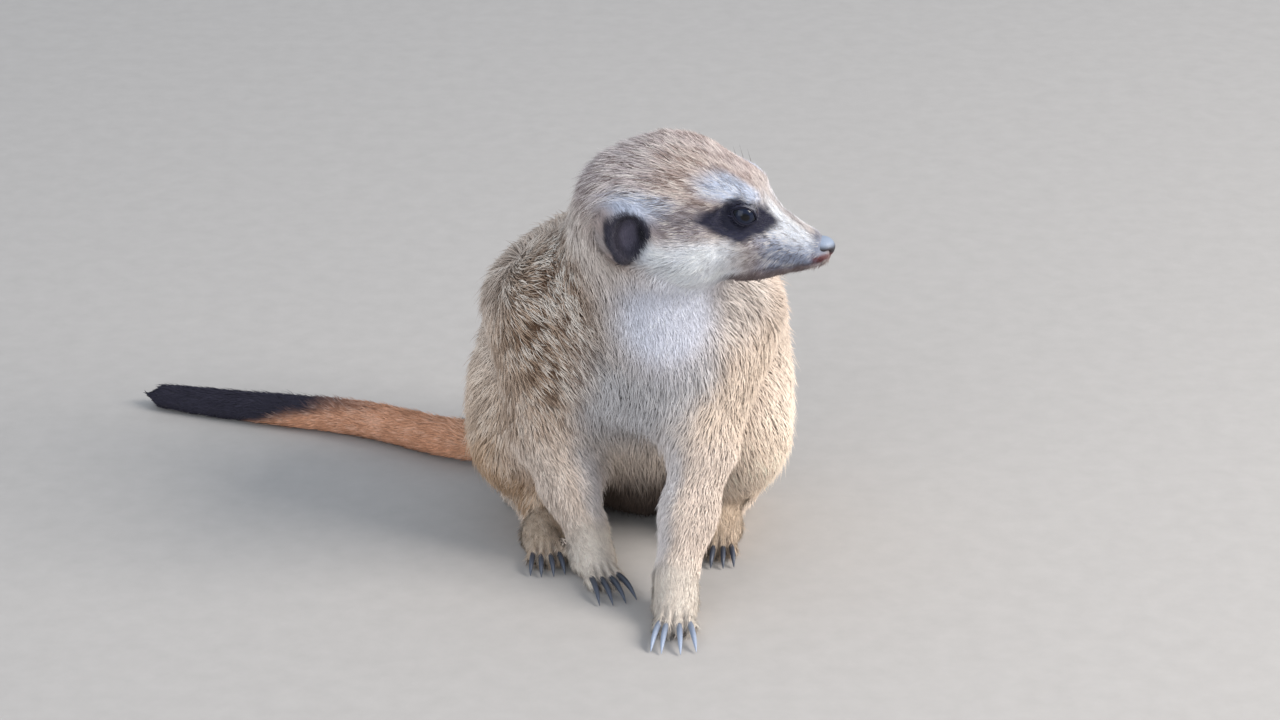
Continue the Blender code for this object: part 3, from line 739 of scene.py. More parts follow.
def head_colours(colours, points, on_head):
    """Paints the head: white cheeks and brows, a grey muzzle, a brown crown and the black eye patches."""
    head = to_head(points)
    at = head + feathered(points, 1.5, 11) * (0.7, 0, 0.6) + feathered(points, 4.0, 15) * (1.0, 0, 0.8)
    side = np.abs(head[:, 1])
    x, z = at[:, 0], at[:, 2]
    tan = ripple(points, 5, 71) * 0.5 + 0.5
    under_lip = -(z + 13.7 + 0.2 * np.maximum(47.3 - x, 0))
    return painted(
        colours,
        on_head,
        # Painted highlight along the top of the crown and over its back rim
        (CROWN_TOP_HIGHLIGHT, under(side, 2, 11) * fade(x, -14, 2) * under(x, 20, 32) * 0.4),
        (CROWN_TOP_HIGHLIGHT, under(x, -14, 6) * fade(z, -4, 8) * 0.7),
        (BRIDGE, fade(x, 22, 34) * fade(z, -8, -2)),
        (MUZZLE, fade(x, 22, 34) * fade(side, 2.0, 5.5) * under(z, -3, 3)),
        (WHITE, spot(at, (37.5, -1.4), (11, 5.0), 32, 0.55) * fade(side, 1.0, 2.8) * 0.85),
        (TEMPLE, spot(at, (4.5, 1.5), (11, 6.5), 10, 0.5) * fade(side, 8, 12)),
        (WHITE, cheek_share(at)),
        (BROW, spot(at, (19.5, 10.7), (10.5, 4.0), 16, 0.45) * fade(side, 6.0, 9.5)),
        (BROW, spot(at, (-7.0, 7.0), (8.5, 2.8), -6, 0.5) * fade(side, 15, 19) * 0.8),
        (BRIDGE * 0.82, spot(at, (-20, -10), (3.5, 7), 0, 0.5) * fade(side, 14, 18) * (0.4 + 0.6 * tan)),
        (EYE_PATCH, eye_patch(at) * fade(side, 4.2, 6.4)),
        # Under the lip line: dark fur with painted shade on the underside of the jaw
        (JAW_DARK_FUR_AND_SHADE, fade(under_lip, -0.4, 1.2) * fade(x, 13, 21)),
        (CHIN, fade(under_lip, -0.4, 0.8) * fade(x, 43, 46)),
        (LIP, bell(beside_mouth(head) / 0.9) * 0.85),
        (MUZZLE * 0.6, fade(x, 44.0, 46.8) * fade(z, -12.6, -9.0)),
        (MOUTH_RED, fade(x, 45.4, 46.8) * fade(z, -13.7, -12.9) * under(z, -11.2, -10.4)),
    )


def cheek_share(head_points):
    """1 on the white cheek, from under the eye back to the ear and down to the jaw."""
    x, z = head_points[:, 0], head_points[:, 2]
    return under(z, -8.0, -1.5) * under(x, 17, 29) * fade(x, -12, -6)


def feathered(points, size, seed):
    """Sideways shifts that fray the border of a marking, as three smooth noises of the given size."""
    return np.stack([ripple(points, size, seed + axis) for axis in range(3)], axis=1)


def eye_patch(head_points):
    """The black patch: a diamond, highest over the eye, whose front end dips. Its half height is a
    power of the distance left to its front or rear end."""
    x = head_points[:, 0] - 22.3
    up = head_points[:, 2] - 1.45 + 0.19 * np.maximum(x, 0)
    left = np.maximum(1 - np.where(x > 0, x / 12.9, -x / 12.6), 0)
    arch = 7.9 * left ** np.where(up > 0, 0.6, 0.9)
    return under(np.abs(up) - arch, -1.5, 1.5)


def ear_shape(head_points):
    """1 on the black of each ear, whose half width falls by a power of the distance above or below its
    middle line: soon above, and slowly to a point below."""
    x, z = head_points[:, 0] + 11.0, head_points[:, 2] + 1.0
    reach, power = np.where(z > 0, 5.6, 15.0), np.where(z > 0, 2.2, 1.7)
    half = 8.0 * np.maximum(1 - (np.abs(z) / reach) ** power, 0)
    return under(np.abs(x) - half, -1.0, 0.9) * fade(z, -15.5, -13.0)


def ear_colours(colours, points, near_ears):
    """Black ears, with grey hair in the cup, the hollow before it darkened further by painted shade,
    and pale hair above.
    """
    head = to_head(points)
    frayed = head + feathered(points, 1.5, 81) * 0.6
    x, z = head[:, 0] + 10.8, head[:, 2] + 3.6
    beside = near_ears * fade(np.abs(head[:, 1]), 13, 17)
    cup = under(np.hypot(x / 2.9, z / 5.6), 0.4, 1.25) * fade(np.abs(head[:, 1]), 19.5, 22)
    return painted(
        colours,
        beside,
        (BROW * 0.9, spot(frayed, (-9.0, 6.0), (10, 4.0), 4, 0.5) * 0.85),
        (EAR_BLACK, ear_shape(frayed)),
        (EAR_HAIR, cup * 0.75),
        # Painted shade in the hollow in front of the ear's cup
        (EAR_BLACK * 0.4, under(np.hypot((x - 4.4) / 1.9, (z - 0.6) / 3.0), 0.5, 1.2)),
    )


def trunk_colours(colours, points, normals, on_trunk):
    """Cream flanks, a grey chest that darkens to the belly, low down from dark fur and painted shade,
    and dark bands over the lower back.
    """
    x, y, z = points.T
    front = under(y, -6, 6) * under(np.abs(x - 1), 20, 30) * under(normals[:, 1], -0.5, 0)
    back = fade(normals[:, 1] + 0.4 * normals[:, 2], 0.35, 0.8) * fade(y, 14, 28)
    down = np.hypot(y - 5, z - 95) + 1.6 * ripple(points, 9, 21)
    stripe = fade(np.cos(down * 2 * math.pi / 11.5), 0.25, 0.85)
    return painted(
        colours,
        on_trunk,
        (FLANK, under(z, 62, 88) * fade(np.abs(x + 3), 22, 36) * 0.85),
        (CHEST, front),
        (BELLY, front * under(z, 28, 50)),
        # Low between the legs: dark belly fur with painted shade
        (BELLY_DARK_AND_SHADE, under(z, 18, 38) * under(np.abs(x - 1), 18, 26)),
        (BAND, back * stripe * under(np.abs(x + 4), 16, 34) * under(z, 84, 100) * 0.8),
    )


def limb_colours(colours, points, normals, weights):
    """Grey on the inner sides of the forelegs, cream low on the thighs, and shade between the toes."""
    for arm, inward in (("left", -1), ("right", 1)):
        on_arm = share_of(weights, f"forearm_{arm}") + 0.6 * share_of(weights, f"shoulder_{arm}")
        inner = fade(normals[:, 0] * inward, 0.25, 0.8)
        colours = mixed(colours, INNER_ARM, inner * np.clip(on_arm, 0, 1) * 0.8)
    colours = mixed(colours, EYE_PATCH, between_toes(points) * 0.6)
    thighs = share_of(weights, "thigh_left", "thigh_right")
    colours = mixed(colours, FLANK, thighs * fade(points[:, 2], 30, 52) * 0.7)
    chest = under(normals[:, 1], -0.8, -0.2) * under(np.abs(points[:, 0] - 1), 10, 20)
    shoulders = share_of(weights, "shoulder_left", "shoulder_right")
    return mixed(colours, CHEST, chest * shoulders * 0.7)


def tail_colours(colours, points, on_tail):
    """Tan with a browner root, and black from two thirds out, which starts first on the upper side."""
    height = np.clip(points[:, 2] / 13, 0, 1)
    out = -142 + 34 * height + 3 * ripple(points, 3, 31) - points[:, 0]
    tan = mixed(TAIL_TAN, THIGH_SHADED, fade(points[:, 0], -75, -35) * 0.7)
    colours = mixed(colours, tan, on_tail)
    return mixed(colours, TAIL_BLACK, on_tail * fade(out, -4 - 20 * height**2, 6))


def markings(points, normals, weights):
    """The coat's colour at each point, the same for skin and tufts."""
    colours = weights @ np.array([part.colour for part in PARTS.values()])
    colours = trunk_colours(colours, points, normals, share_of(weights, "trunk"))
    colours = limb_colours(colours, points, normals, weights)
    colours = mixed(colours, SHOULDER_BROWN, dark_shoulder(points) * 0.7)
    colours = mixed(colours, THROAT, bare_throat(points))
    on_head = np.clip(share_of(weights, "head", "ears"), 0, 1)
    colours = head_colours(colours, points, on_head)
    colours = ear_colours(colours, points, on_head)
    colours = tail_colours(colours, points, share_of(weights, "tail", "tail_tip"))
    return np.clip(colours * (1 + 0.07 * ripple(points, 6, 5))[:, None], 0.004, 1)


# ---- Tufts ----


def spike(rings):
    """A three-sided spike's triangles, over the points of its rings, root first, and its tip; and each
    corner's share of the way round it and up it."""
    faces, chart = [(0, 2, 1)], [((0, 0), (1, 0), (0.5, -0.2))]
    for ring_number, side in np.ndindex(rings, 3):
        low, high = ring_number / rings, (ring_number + 1) / rings
        left, right = side / 3, (side + 1) / 3
        a, b = 3 * ring_number + side, 3 * ring_number + (side + 1) % 3
        if ring_number + 1 < rings:
            faces += [(a, b, b + 3), (a, b + 3, a + 3)]
            chart.append(((left, low), (right, low), (right, high)))
            chart.append(((left, low), (right, high), (left, high)))
        else:
            faces.append((a, b, 3 * rings))
            chart.append(((left, low), (right, low), ((left + right) / 2, 1)))
    return np.array(faces), np.array(chart)


def sow(points, triangles, number):
    """Roots strewn over the skin, a given number to a square millimetre: each one's triangle, and its
    shares of the three corners."""
    area = length_of(facings(points, triangles)) / 2
    total = np.cumsum(area * number[triangles].mean(axis=1))
    count = int(total[-1])
    chosen = np.searchsorted(total, (np.arange(count) + rng.random(count)) / count * total[-1])
    chosen = np.minimum(chosen, len(triangles) - 1)
    root, split = np.sqrt(rng.random(count)), rng.random(count)
    shares = np.stack([1 - root, root * (1 - split), root * split], axis=1)
    return chosen, shares


def bare(points, normals):
    """True where no tuft grows: in the eyes, between the lips, on the nose leather and the soles."""
    head = to_head(points)
    outside, radius = nearer_eye(head)
    eyes = (radius < 9) & (outside < 0.55)
    sole = (points[:, 2] < 1.2) & (normals[:, 2] < -0.6)
    return eyes | (in_egg(head, NOSE_BARE) < 1) | sole | (beside_mouth(head) < 0.35)


def some_of(tufts, chosen):
    """A few of the tufts, which are arrays with one row to a tuft."""
    return SimpleNamespace(**{name: column[chosen] for name, column in vars(tufts).items()})


def grow(points, triangles, normals, weights):
    """All the tufts of the coat: where each is rooted, how it lies and bends, and its colours."""
    coat = coat_at(points, normals, weights)
    lie = lie_at(points, normals, weights)
    chosen, shares = sow(points, triangles, coat["number"])

    def at(values):
        return np.einsum("nk,nk...->n...", shares, values[triangles[chosen]])

    root, normal, share = at(points), unit(at(normals)), at(weights)
    kept = ~bare(root, normal)
    lie = unit(at(lie))
    field = {name: at(values)[kept] for name, values in coat.items()}
    root, normal, share, lie = root[kept], normal[kept], share[kept], lie[kept]
    count = len(root)
    turn = 0.28 * ripple(root, 13, 41) + 0.24 * ripple(root, 4.5, 42) + rng.normal(0, 0.19, count)
    lie = unit(lie * np.cos(turn)[:, None] + np.cross(normal, lie) * np.sin(turn)[:, None])
    guard = rng.random(count) < GUARD_HAIRS
    length = field["length"] * rng.uniform(0.72, 1.15, count) * np.where(guard, GUARD_LENGTH, 1)
    lift = np.radians(field["lift"] * rng.uniform(0.55, 1.3, count) + guard * 5)
    width = field["width"] * rng.uniform(0.75, 1.2, count) * np.where(guard, GUARD_WIDTH, 1)

    def raised(angle):
        return (lie * np.cos(angle)[:, None] + normal * np.sin(angle)[:, None]) * (length * 0.5)[:, None]

    middle = root + raised(lift)
    tip = middle + raised(lift * 0.45)
    long_coat = fade(field["length"], 4.5, 6)
    wide, wide_lot = clumps(root, LONG_CLUMP, 51)
    narrow, narrow_lot = clumps(root, SHORT_CLUMP, 55)
    lot = np.where(long_coat > 0.5, wide_lot, narrow_lot)
    lot = np.where(share_of(share, "head") > 0.5, streaks(root), lot)
    towards = mixed(narrow, wide, long_coat) - root
    towards -= normal * (towards * normal).sum(axis=1, keepdims=True)
    gather = (0.2 + 0.2 * long_coat) * fade(field["length"], 1.5, 3.5) * (1 - guard * 0.7)
    towards *= gather[:, None]
    tip, middle = tip + towards, middle + towards * 0.45
    shades = tuft_colours(
        markings(root, normal, share), markings(tip, normal, share), field["mottle"], lot
    )
    part = share.argmax(axis=1)
    return SimpleNamespace(
        root=root, middle=middle, tip=tip, normal=normal, width=width, length=length, part=part, **shades
    )


def streaks(points):
    """A random number for each place on the head, shared along narrow streaks that run back and up."""
    back = unit(np.array(STREAK))
    head = to_head(points)
    squashed = head - STREAK_STRETCH * (head @ back)[:, None] * back
    return clumps(squashed, STREAK_WIDTH, 91)[1]


def tuft_colours(at_root, at_tip, mottle, lot):
    """Each tuft's colour at root, middle and tip, from the markings where it grows and where it ends:
    dark under, and in the mottled parts dark or cream, by its clump. Black parts have no cream."""
    own = 0.6 * lot + 0.4 * rng.random(len(lot))
    pale = fade(at_root.mean(axis=1), 0.04, 0.30)
    dark = mottle * under(own, 0.28, 0.44) * (0.3 + 0.7 * pale)
    cream = mottle * fade(own, 0.54, 0.72) * 0.6 * pale
    brightness = (1 + 0.08 * rng.standard_normal(len(lot)) + 0.18 * (lot - 0.5)).clip(0.75, 1.25)
    root, end = (
        mixed(mixed(colours, colours * DARK_SHARE, dark), CREAM_HAIR, cream) * brightness[:, None]
        for colours in (at_root, at_tip)
    )
    # Painted shade: each tuft is darker at its root, deep in the coat, and turns toward the undercoat
    # colour in mottled parts; its tip is made a little lighter
    low = np.minimum(mixed(root * 0.82, UNDERCOAT, mottle * 0.25), root)
    shades = {"low": low, "mid": mixed(root, end, 0.4), "high": mixed(root, end, 0.7) * 1.05}
    return {name: np.clip(shade, 0, 1) for name, shade in shades.items()}


def unwrapped(points, axis_start, axis_end):
    """Each root's place on an unwrap of the skin: its turn round the part's axis, and its share along."""
    start, end = np.array(axis_start, float), np.array(axis_end, float)
    axis = unit(end - start)
    side = unit(np.cross(axis, (0.31, 0.12, 0.94) if abs(axis[2]) < 0.7 else (0.1, 1, 0.2)))
    out = points - start
    round_axis = np.arctan2(out @ np.cross(axis, side), out @ side) / (2 * math.pi) + 0.5
    along = out @ axis
    low, high = along.min(), along.max()
    return np.stack([round_axis, (along - low) / max(high - low, 1e-6)], axis=1)


def ring(centre, ahead, normal, width, height):
    """Three corners round a tuft: its two sides, and its ridge on the side away from the skin."""
    side = unit(np.cross(normal, ahead))
    over = unit(np.cross(ahead, side))
    half = side * (width / 2)[:, None]
    return [centre - half, centre + half, centre + over * height[:, None]]


def tuft_mesh(name, tufts, places, bent):
    """Tufts as three-sided spikes: a ring sunk a little under the skin, for a bent one a thinner ring
    halfway where it bends, and a point. They are shaded as the skin is, turned a little to each side."""
    lead = unit(tufts.middle - tufts.root)
    base = tufts.root - tufts.normal * np.minimum(0.35, tufts.length * 0.06)[:, None]
    rows = ring(base, lead, tufts.normal, tufts.width, tufts.width * 0.5)
    shades = [tufts.low] * 3
    if bent:
        on = unit(tufts.tip - tufts.root)
        rows += ring(tufts.middle, on, tufts.normal, tufts.width * 0.85, tufts.width * 0.42)
        shades += [tufts.mid] * 3
    rows.append(tufts.tip)
    shades.append(tufts.high if bent else (tufts.mid + tufts.high) / 2)
    side = unit(np.cross(tufts.normal, lead)) * 0.6
    facing = [tufts.normal - side, tufts.normal + side, tufts.normal] * (len(rows) // 3) + [tufts.normal]
    points, colours, facing = (np.stack(values, axis=1) for values in (rows, shades, facing))
    points[..., 2] = np.maximum(points[..., 2], FLOOR_CLEARANCE)
    pattern, chart = spike(2 if bent else 1)
    faces = (np.arange(len(points)) * len(rows))[:, None, None] + pattern
    uv = MAP_EDGE + places[:, None, None, :] * (1 - 3 * MAP_EDGE) + chart * PATCH
    facing = unit(facing.reshape(-1, 3))
    points, faces, colours = (values.reshape(-1, 3) for values in (points, faces, colours))
    return make_object(name, points, faces, colours, uv.reshape(-1, 2), facing)


# ---- Materials ----


class Nodes:
    """A material's node tree, with short ways to add to it."""

    def __init__(self, name):
        self.material = bpy.data.materials.new(name)
        self.material.use_nodes = True
        self.tree = self.material.node_tree
        self.place = self.add("ShaderNodeTexCoord").outputs["Object"]

    def fill(self, node, inputs):
        """Gives each of some inputs of a node its value or its link."""
        for socket, value in inputs.items():
            if isinstance(value, bpy.types.NodeSocket):
                self.tree.links.new(value, node.inputs[socket])
            else:
                node.inputs[socket].default_value = value
        return node

    def add(self, kind, inputs=(), **settings):
        node = self.tree.nodes.new(kind)
        for setting, value in settings.items():
            setattr(node, setting, value)
        return self.fill(node, dict(inputs))

    def shade(self, **inputs):
        shader = self.tree.nodes["Principled BSDF"]
        self.fill(shader, {name.replace("_", " "): value for name, value in inputs.items()})

    def noise(self, size, detail=2.0, rough=0.5):
        """Noise whose lumps are about size millimetres across."""
        inputs = {"Vector": self.place, "Scale": 1 / (size * MM), "Detail": detail, "Roughness": rough}
        return self.add("ShaderNodeTexNoise", inputs).outputs["Fac"]

    def between(self, value, low, high):
        """A value from 0 to 1 spread over low to high."""
        inputs = {"Value": value, "To Min": low, "To Max": high}
        return self.add("ShaderNodeMapRange", inputs).outputs["Result"]

    def coat_colour(self, value, low, high):
        """The piece's own painted colour, lightened and darkened by a value."""
        painted = self.add("ShaderNodeAttribute", attribute_name="Coat").outputs["Color"]
        inputs = {"Factor": 1.0, "A": painted, "B": self.between(value, low, high)}
        mix = self.add("ShaderNodeMix", inputs, data_type="RGBA", blend_type="MULTIPLY")
        return mix.outputs["Result"]

    def bump(self, height, depth):
        """A bump whose height is depth millimetres."""
        inputs = {"Height": height, "Distance": depth * MM, "Strength": 1.0}
        return self.add("ShaderNodeBump", inputs).outputs["Normal"]


def finish(name, grain, shade, roughness, depth, broad=None, **inputs):
    """A material: the painted colour, shaded by fine noise that also raises bumps and spreads the
    roughness, unless a broad noise does that."""
    nodes = Nodes(name)
    fine = nodes.noise(*grain)
    nodes.shade(
        Base_Color=nodes.coat_colour(fine, *shade),
        Roughness=nodes.between(nodes.noise(*broad) if broad else fine, *roughness),
        Normal=nodes.bump(fine, depth),
        **inputs,
    )
    return nodes.material


def hair_finish(name, low, high):
    """Hair: the painted colour of each tuft, with a little change along it."""
    return finish(name, (0.9, 1.0), (0.86, 1.12), (low, high), 0.05, Specular_IOR_Level=0.12)


def wet_finish(name, grain, roughness, depth, damp, shine):
    """Bare skin or an eye: painted colour, fine grain, and a damp shine."""
    wet = {"Coat_Weight": damp, "Coat_Roughness": 0.12, "Specular_IOR_Level": shine}
    return finish(name, (grain, 2.0), (0.85, 1.15), roughness, depth, **wet)


# ---- Eyes, nose and claws ----


def eyeball(side):
    """An eye's ball: from its centre, a radius along the cosine of a turn of its axis and the sine of
    that turn of the way round. The radius swells by a bell over the iris. Its colours go out from the
    oval pupil, by the turn, to the dark white and the pink front corner."""
    centre, axis, ahead, up = eye_frame(side)
    turn, angle, faces = grid(np.linspace(0.0005, math.pi - 0.0005, 64), 72)
    radius = EYE_RADIUS + 0.22 * np.exp(-((turn / 0.62) ** 4))
    across, rise = np.cos(angle) * np.sin(turn), np.sin(angle) * np.sin(turn)
    points = np.outer(np.cos(turn), axis) + np.outer(across, ahead) + np.outer(rise, up)
    points = centre + points * radius[:, None]
    out = turn * EYE_RADIUS
    x, z = np.cos(angle) * out, np.sin(angle) * out
    streak = ripple(np.stack([angle * 9, turn * 2, turn * 0], axis=1), 0.6, 61)
    # The iris colour is dark, with a painted blue reflection in it
    colours = painted(
        IRIS_AND_BLUE_SHEEN * (1 + 0.25 * streak)[:, None],
        1,
        (PUPIL, under(np.hypot(x / 1.6, z / 1.2), 0.7, 1.2)),
        (EYE_WHITE, fade(out, 2.75, 3.4)),
        (EYE_CORNER, fade(x, 4.3, 4.9) * 0.8),
    )
    return from_head(points), faces[:, ::side], np.clip(colours, 0.002, 1)


def lid_rim(side):
    """The bare edge of the lids: a flattened ring carried round the almond opening, with its reach
    from the opening's middle taken as a turn from the eye's axis, so that it follows the ball."""
    centre, axis, ahead, up = eye_frame(side)
    along, about, faces = grid(np.linspace(0, 2 * math.pi, 120, endpoint=False), 12, closed=True)
    thick = 0.34 + 0.08 * np.abs(np.sin(along))
    reach = (lid_reach(along) + 0.28 + thick * np.cos(about)) / EYE_RADIUS
    radius = EYE_RADIUS + 0.16 + thick * 0.75 * np.sin(about)
    flat = np.outer(np.cos(along) * np.sin(reach), ahead) + np.outer(np.sin(along) * np.sin(reach), up)
    points = centre + (flat + np.outer(np.cos(reach), axis)) * radius[:, None]
    return from_head(points), faces[:, ::side], np.tile(LID_EDGE, (len(points), 1))


def nose_leather():
    """The nose pad: an egg pushed in along its radii by a bell at each nostril, at a slit behind it and
    along a furrow down the middle, and pushed out by a wing over each nostril."""
    turn, angle, faces = grid(np.linspace(0.001, math.pi - 0.001, 72), 96)
    out = np.stack([np.cos(turn), np.sin(turn) * np.cos(angle), np.sin(turn) * np.sin(angle)], axis=1)
    middle, radii = NOSE_EGG
    points = middle + out * radii
    x, y, z = points.T
    side = np.abs(y)
    nostril = bell((x - 50.0) / 1.4, (side - 2.9) / 1.1, (z + 10.7) / 0.9)
    slit = bell((x - 48.0) / 1.5, (side - 4.0) / 1.0, (z + 10.9) / 0.6)
    wing = bell((x - 49.6) / 1.4, (side - 3.2) / 1.1, (z + 9.9) / 0.9)
    furrow = bell(y / 0.3) * fade(x, 49.5, 50.9) * under(z, -10.5, -8.9)
    push = 0.4 * wing - 1.5 * nostril - 0.8 * slit - 0.4 * furrow
    points = points + out * push[:, None]
    colours = painted(
        NOSE_UNDER,
        1,
        # Painted highlight on the top of the nose; below it the nose keeps its own dark colour
        (NOSE_TOP_HIGHLIGHT, fade(z, -9.8, -7.8)),
        (NOSE_LIP, under(z, -11.8, -10.8) * 0.9),
        (NOSTRIL, np.clip(nostril * 1.8 + slit * 1.6 + furrow * 0.6, 0, 1)),
    )
    return from_head(points), faces[:, ::-1], colours


def claw_surface(node):
    """A claw read off its solid: a middle line fitted as a square curve of the share along the claw,
    and an oval ring carried along it, whose radius falls to a point by a power of that share."""
    points = np.unique(np.round(solid(node)[0], 3), axis=0)
    along = long_axis(points)[2]
    share = (along - along.min()) / (along.max() - along.min())
    line = [np.polyfit(share, points[:, k], 2) for k in range(3)]
    girth = length_of(points - np.stack([np.polyval(c, share) for c in line], axis=1))
    thick = np.percentile(girth[share < 0.3], 80)
    rings, around = 22, 16
    step, angle, faces = grid(np.linspace(-0.12, 1, rings), around)
    centre = np.stack([np.polyval(c, step) for c in line], axis=1)
    ahead = unit(np.stack([np.polyval(np.polyder(c), step) for c in line], axis=1))
    side = unit(np.cross(ahead, (0, 0, 1)))
    over = np.cross(side, ahead)
    radius = thick * (1 - np.clip(step, 0, 1) ** 3.2 * 0.86)
    out = side * (np.cos(angle) * 0.76)[:, None] + over * (np.sin(angle) * 0.95)[:, None]
    ends = np.stack([centre[0] - ahead[0] * 0.2, centre[-1] + ahead[-1] * 0.25])
    surface = np.concatenate([centre + out * radius[:, None], ends])
    here = np.arange(around)
    beside = (here + 1) % around
    last = (rings - 1) * around
    root = np.full(around, last + around)
    back = np.stack([here, beside, root], axis=1)
    front = np.stack([last + beside, last + here, root + 1], axis=1)
    triangles = np.concatenate([faces[:, [2, 1, 0]], faces[:, [3, 2, 0]], back, front])
    # The left forepaw's claws take the painted highlight colour; the others keep the dark claw colour
    pale = CLAW_LIT_HIGHLIGHT if "forepaw_left" in node else CLAW_DARK
    colours = mixed(pale * 0.62, pale, fade(np.concatenate([step, [0, 1]]), 0.1, 0.9))
    return surface, triangles, colours


def whiskers():
    """Thin bristles on the lips and over the eyes: each a straight line that droops by the square of
    the share along it, in a three-sided ring that thins evenly to a point."""
    bristles = []
    for side in (-1, 1):
        for row, step in np.ndindex(3, 4):
            height = -8.2 - 1.8 * row - 0.2 * step
            root = (42.0 - 2.8 * step + 0.6 * row, side * (4.2 + 0.85 * step), height)
            way = (-0.25 - 0.12 * step, side, -0.25 - 0.12 * row)
            bristles.append((root, way, 9 + 2.0 * step - row))
        for step in range(3):
            root = (22.5 - 2.5 * step, side * (12.0 + 0.6 * step), 10.5 + 0.4 * step)
            bristles.append((root, (-0.35, side * 0.6, 0.75), 7.0))
    roots, ways, lengths = (np.array(values, float) for values in zip(*bristles, strict=True))
    root, way = from_head(roots), unit(ways) @ HEAD_TURN.T
    length = lengths * rng.uniform(0.85, 1.15, len(lengths))
    step, angle, rings = grid(np.linspace(0, 1, 9), 3)
    line = root[:, None] + way[:, None] * (length[:, None] * step)[..., None]
    line[..., 2] -= (length[:, None] * step**2) * 0.16
    side = unit(np.cross(way, (0, 0, 1)))
    over = np.cross(side, way)
    out = side[:, None] * np.cos(angle)[:, None] + over[:, None] * np.sin(angle)[:, None]
    points = line + out * (0.085 * (1 - 0.92 * step))[:, None]
    faces = (np.arange(len(root)) * len(step))[:, None, None] + rings
    return points.reshape(-1, 3), faces.reshape(-1, 4), np.tile(WHISKER, (len(root) * len(step), 1))


# ---- Putting it together ----

tail_points = np.concatenate([solid(node)[0] for node in ("tail_base", "tail_middle", "tail_tip")])
TAIL_LINE = np.polyfit(tail_points[:, 0], tail_points[:, 1], 3)

skin_points, skin_faces, skin_normals, skin_weights = skin_arrays()
skin_colours = markings(skin_points, skin_normals, skin_weights)
shaded = fade(coat_at(skin_points, skin_normals, skin_weights)["length"], 1.5, 6)
skin = make_object("skin", skin_points, skin_faces, mixed(skin_colours, skin_colours * 0.78, shaded))
underfur = finish(
    "skin_underfur", (0.45, 3.0, 0.6), (0.62, 1.12), (0.72, 0.92), 0.35,
    broad=(2.6, 2.0), Sheen_Weight=0.15, Sheen_Roughness=0.5,
)
dress(skin, underfur, [n for n in PART_OF_NODE if not n.startswith(("eye", "nose"))])

coat = grow(skin_points, skin_faces, skin_normals, skin_weights)
long_hair, short_hair = hair_finish("fur_long", 0.72, 0.88), hair_finish("fur_short", 0.74, 0.90)
dark_hair, tail_hair = hair_finish("fur_dark", 0.62, 0.78), hair_finish("fur_tail", 0.66, 0.82)

# Each piece of the coat: its parts, the ends of the axis that it is unwrapped about, finish and slot
COAT_PIECES = {
    "head": (("head", "nose"), from_head(((-22, 0, 2), (48, 0, -10))), short_hair, "coat"),
    "ears": (("ears",), from_head(((-11, -30, -4), (-11, 30, -4))), dark_hair, "dark_coat"),
    "neck": (("neck",), ((-3, 5, 92), (5, -24, 128)), long_hair, "coat"),
    "trunk": (("trunk",), ((-5, 40, 10), (-1, 0, 105)), long_hair, "coat"),
    "foreleg_left": (
        ("shoulder_left", "forearm_left"), ((10, -50, 13), (29, -6, 90)), long_hair, "coat"
    ),
    "foreleg_right": (
        ("shoulder_right", "forearm_right"), ((-17, -16, 13), (-33, 0, 92)), long_hair, "coat"
    ),
    "hindleg_left": (("thigh_left",), ((34, 10, 0), (30, 22, 70)), long_hair, "coat"),
    "hindleg_right": (("thigh_right",), ((-42, 10, 0), (-38, 22, 70)), long_hair, "coat"),
    "forepaw_left": (("forepaw_left",), ((10, -50, 6), (10, -75, 4)), short_hair, "pale_coat"),
    "forepaw_right": (("forepaw_right",), ((-17, -16, 6), (-8, -42, 4)), short_hair, "pale_coat"),
    "hindfoot_left": (("hindfoot_left",), ((30, 20, 5), (27, -10, 4)), short_hair, "pale_coat"),
    "hindfoot_right": (("hindfoot_right",), ((-37, 20, 5), (-31, -14, 4)), short_hair, "pale_coat"),
    "tail": (("tail",), ((-20, 60, 12), (-140, 103, 6)), tail_hair, "tail_coat"),
    "tail_tip": (("tail_tip",), ((-130, 100, 7), (-184, 120, 5)), tail_hair, "tail_tip_coat"),
}
for piece, (parts, axis, hair, slot) in COAT_PIECES.items():
    bent = hair in (long_hair, tail_hair)
    tufts = some_of(coat, np.isin(coat.part, [PART_NAMES.index(part) for part in parts]))
    most = MOST_TUFTS if bent else MOST_TUFTS * 5 // 2
    lots = math.ceil(len(tufts.root) / most)
    order = np.argsort(tufts.root[:, 2], kind="stable")
    for number, chosen in enumerate(np.array_split(order, lots), 1):
        some = some_of(tufts, chosen)
        name = f"coat_{piece}" if lots == 1 else f"coat_{piece}_{number}"
        dress(tuft_mesh(name, some, unwrapped(some.root, *axis), bent), hair)

eye_finish = wet_finish("eye_wet", 0.8, (0.10, 0.18), 0.0, 0.0, 0.3)
rim_finish = wet_finish("eyelid_rim", 0.3, (0.7, 0.9), 0.08, 0.0, 0.1)
for label, side in (("left", 1), ("right", -1)):
    dress(make_object(f"eyeball_{label}", *eyeball(side)), eye_finish, [f"eye_{label}"])
    dress(make_object(f"eyelid_{label}", *lid_rim(side)), rim_finish)

nose_finish = wet_finish("nose_leather", 0.28, (0.42, 0.62), 0.14, 0.12, 0.5)
dress(make_object("nose_pad", *nose_leather()), nose_finish, ["nose"])

horn = finish("claw_horn", (0.7, 3.0, 0.7), (0.7, 1.25), (0.28, 0.5), 0.06, Specular_IOR_Level=0.5)
claws = joined([claw_surface(node) for node in CLAW_NODES])
dress(make_object("claws", *claws), horn, CLAW_NODES)
dress(make_object("whiskers", *whiskers()), dark_hair)


# ---- Floor, light and camera ----


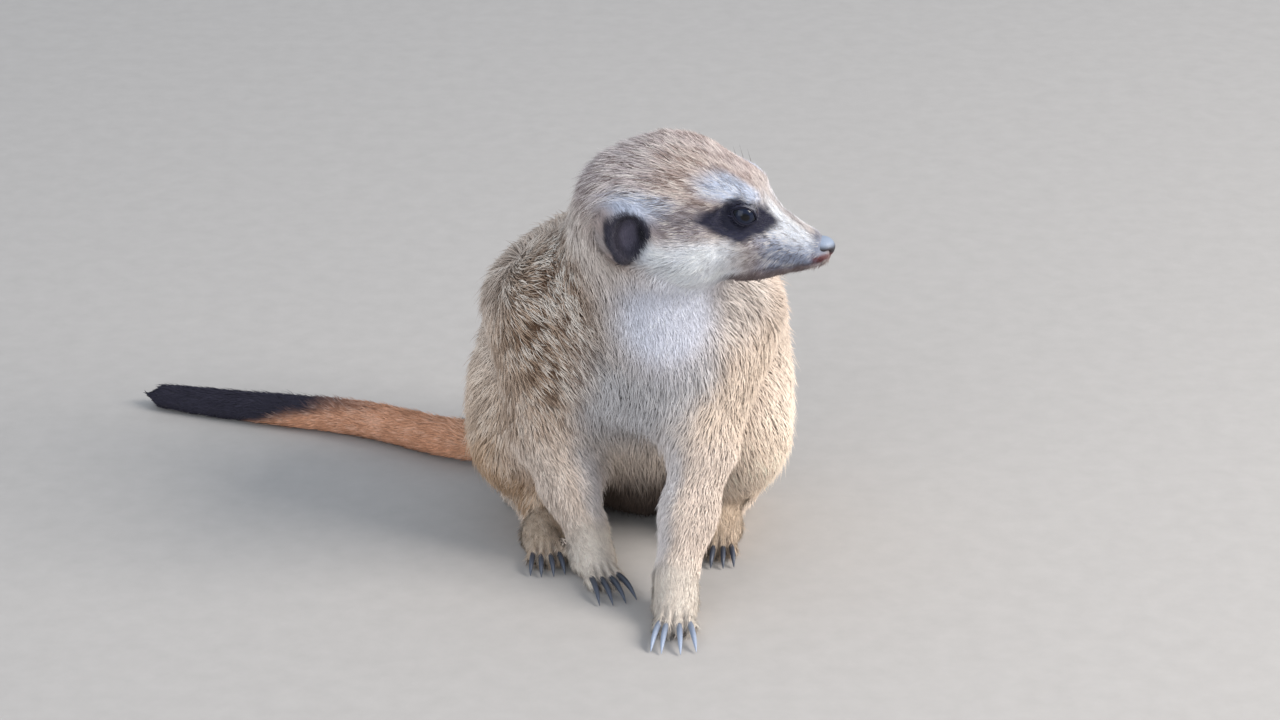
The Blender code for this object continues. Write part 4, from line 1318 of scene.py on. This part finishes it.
def add_floor():
    """A wide pale floor with a faint grain."""
    corners = np.array([(-1, -1, 0), (1, -1, 0), (1, 1, 0), (-1, 1, 0)], float)
    floor = make_object("floor", corners * FLOOR_HALF, np.array([(0, 1, 2, 3)]))
    nodes = Nodes("floor_pale")
    ramp = nodes.add("ShaderNodeValToRGB", {"Fac": nodes.noise(9, 4.0, 0.6)})
    for stop, colour in zip(ramp.color_ramp.elements, FLOOR_TONES, strict=True):
        stop.color = (*colour, 1)
    nodes.shade(Base_Color=ramp.outputs["Color"], Roughness=0.9)
    floor.data.materials.append(nodes.material)


def put(name, data, place, aim):
    """Puts a lamp or the camera at a place in the room, turned to face another."""
    obj = bpy.data.objects.new(name, data)
    at, aim = ((np.array(where) + SHIFT) * MM for where in (place, aim))
    obj.location = at
    obj.rotation_euler = Vector(aim - at).to_track_quat("-Z", "Y").to_euler()
    bpy.context.scene.collection.objects.link(obj)
    return obj


def add_light(name, place, energy, size, colour):
    """A soft square lamp that faces the animal."""
    lamp = bpy.data.lights.new(name, "AREA")
    lamp.energy, lamp.size, lamp.color = energy, size, colour
    put(name, lamp, place, LIGHTS_AIM)


def add_world():
    world = bpy.data.worlds.new("studio")
    world.use_nodes = True
    background = world.node_tree.nodes["Background"]
    background.inputs["Color"].default_value = SKY
    background.inputs["Strength"].default_value = SKY_STRENGTH
    bpy.context.scene.world = world


def add_camera():
    """A long lens from in front of the animal and above it."""
    camera = bpy.data.cameras.new("camera")
    camera.sensor_width = 36
    camera.lens = CAMERA_LENS
    tilt = math.radians(CAMERA_TILT)
    back = CAMERA_DISTANCE * np.array((0, -math.cos(tilt), math.sin(tilt)))
    bpy.context.scene.camera = put("camera", camera, CAMERA_AIM + back, CAMERA_AIM)


add_floor()
add_world()
add_light("key", (1500, -550, 1150), 45, 1.0, (1.0, 0.95, 0.89))
add_light("fill", (-700, -1500, 700), 11, 1.4, (0.94, 0.97, 1.0))
add_camera()
bpy.context.scene.view_settings.view_transform = "Standard"
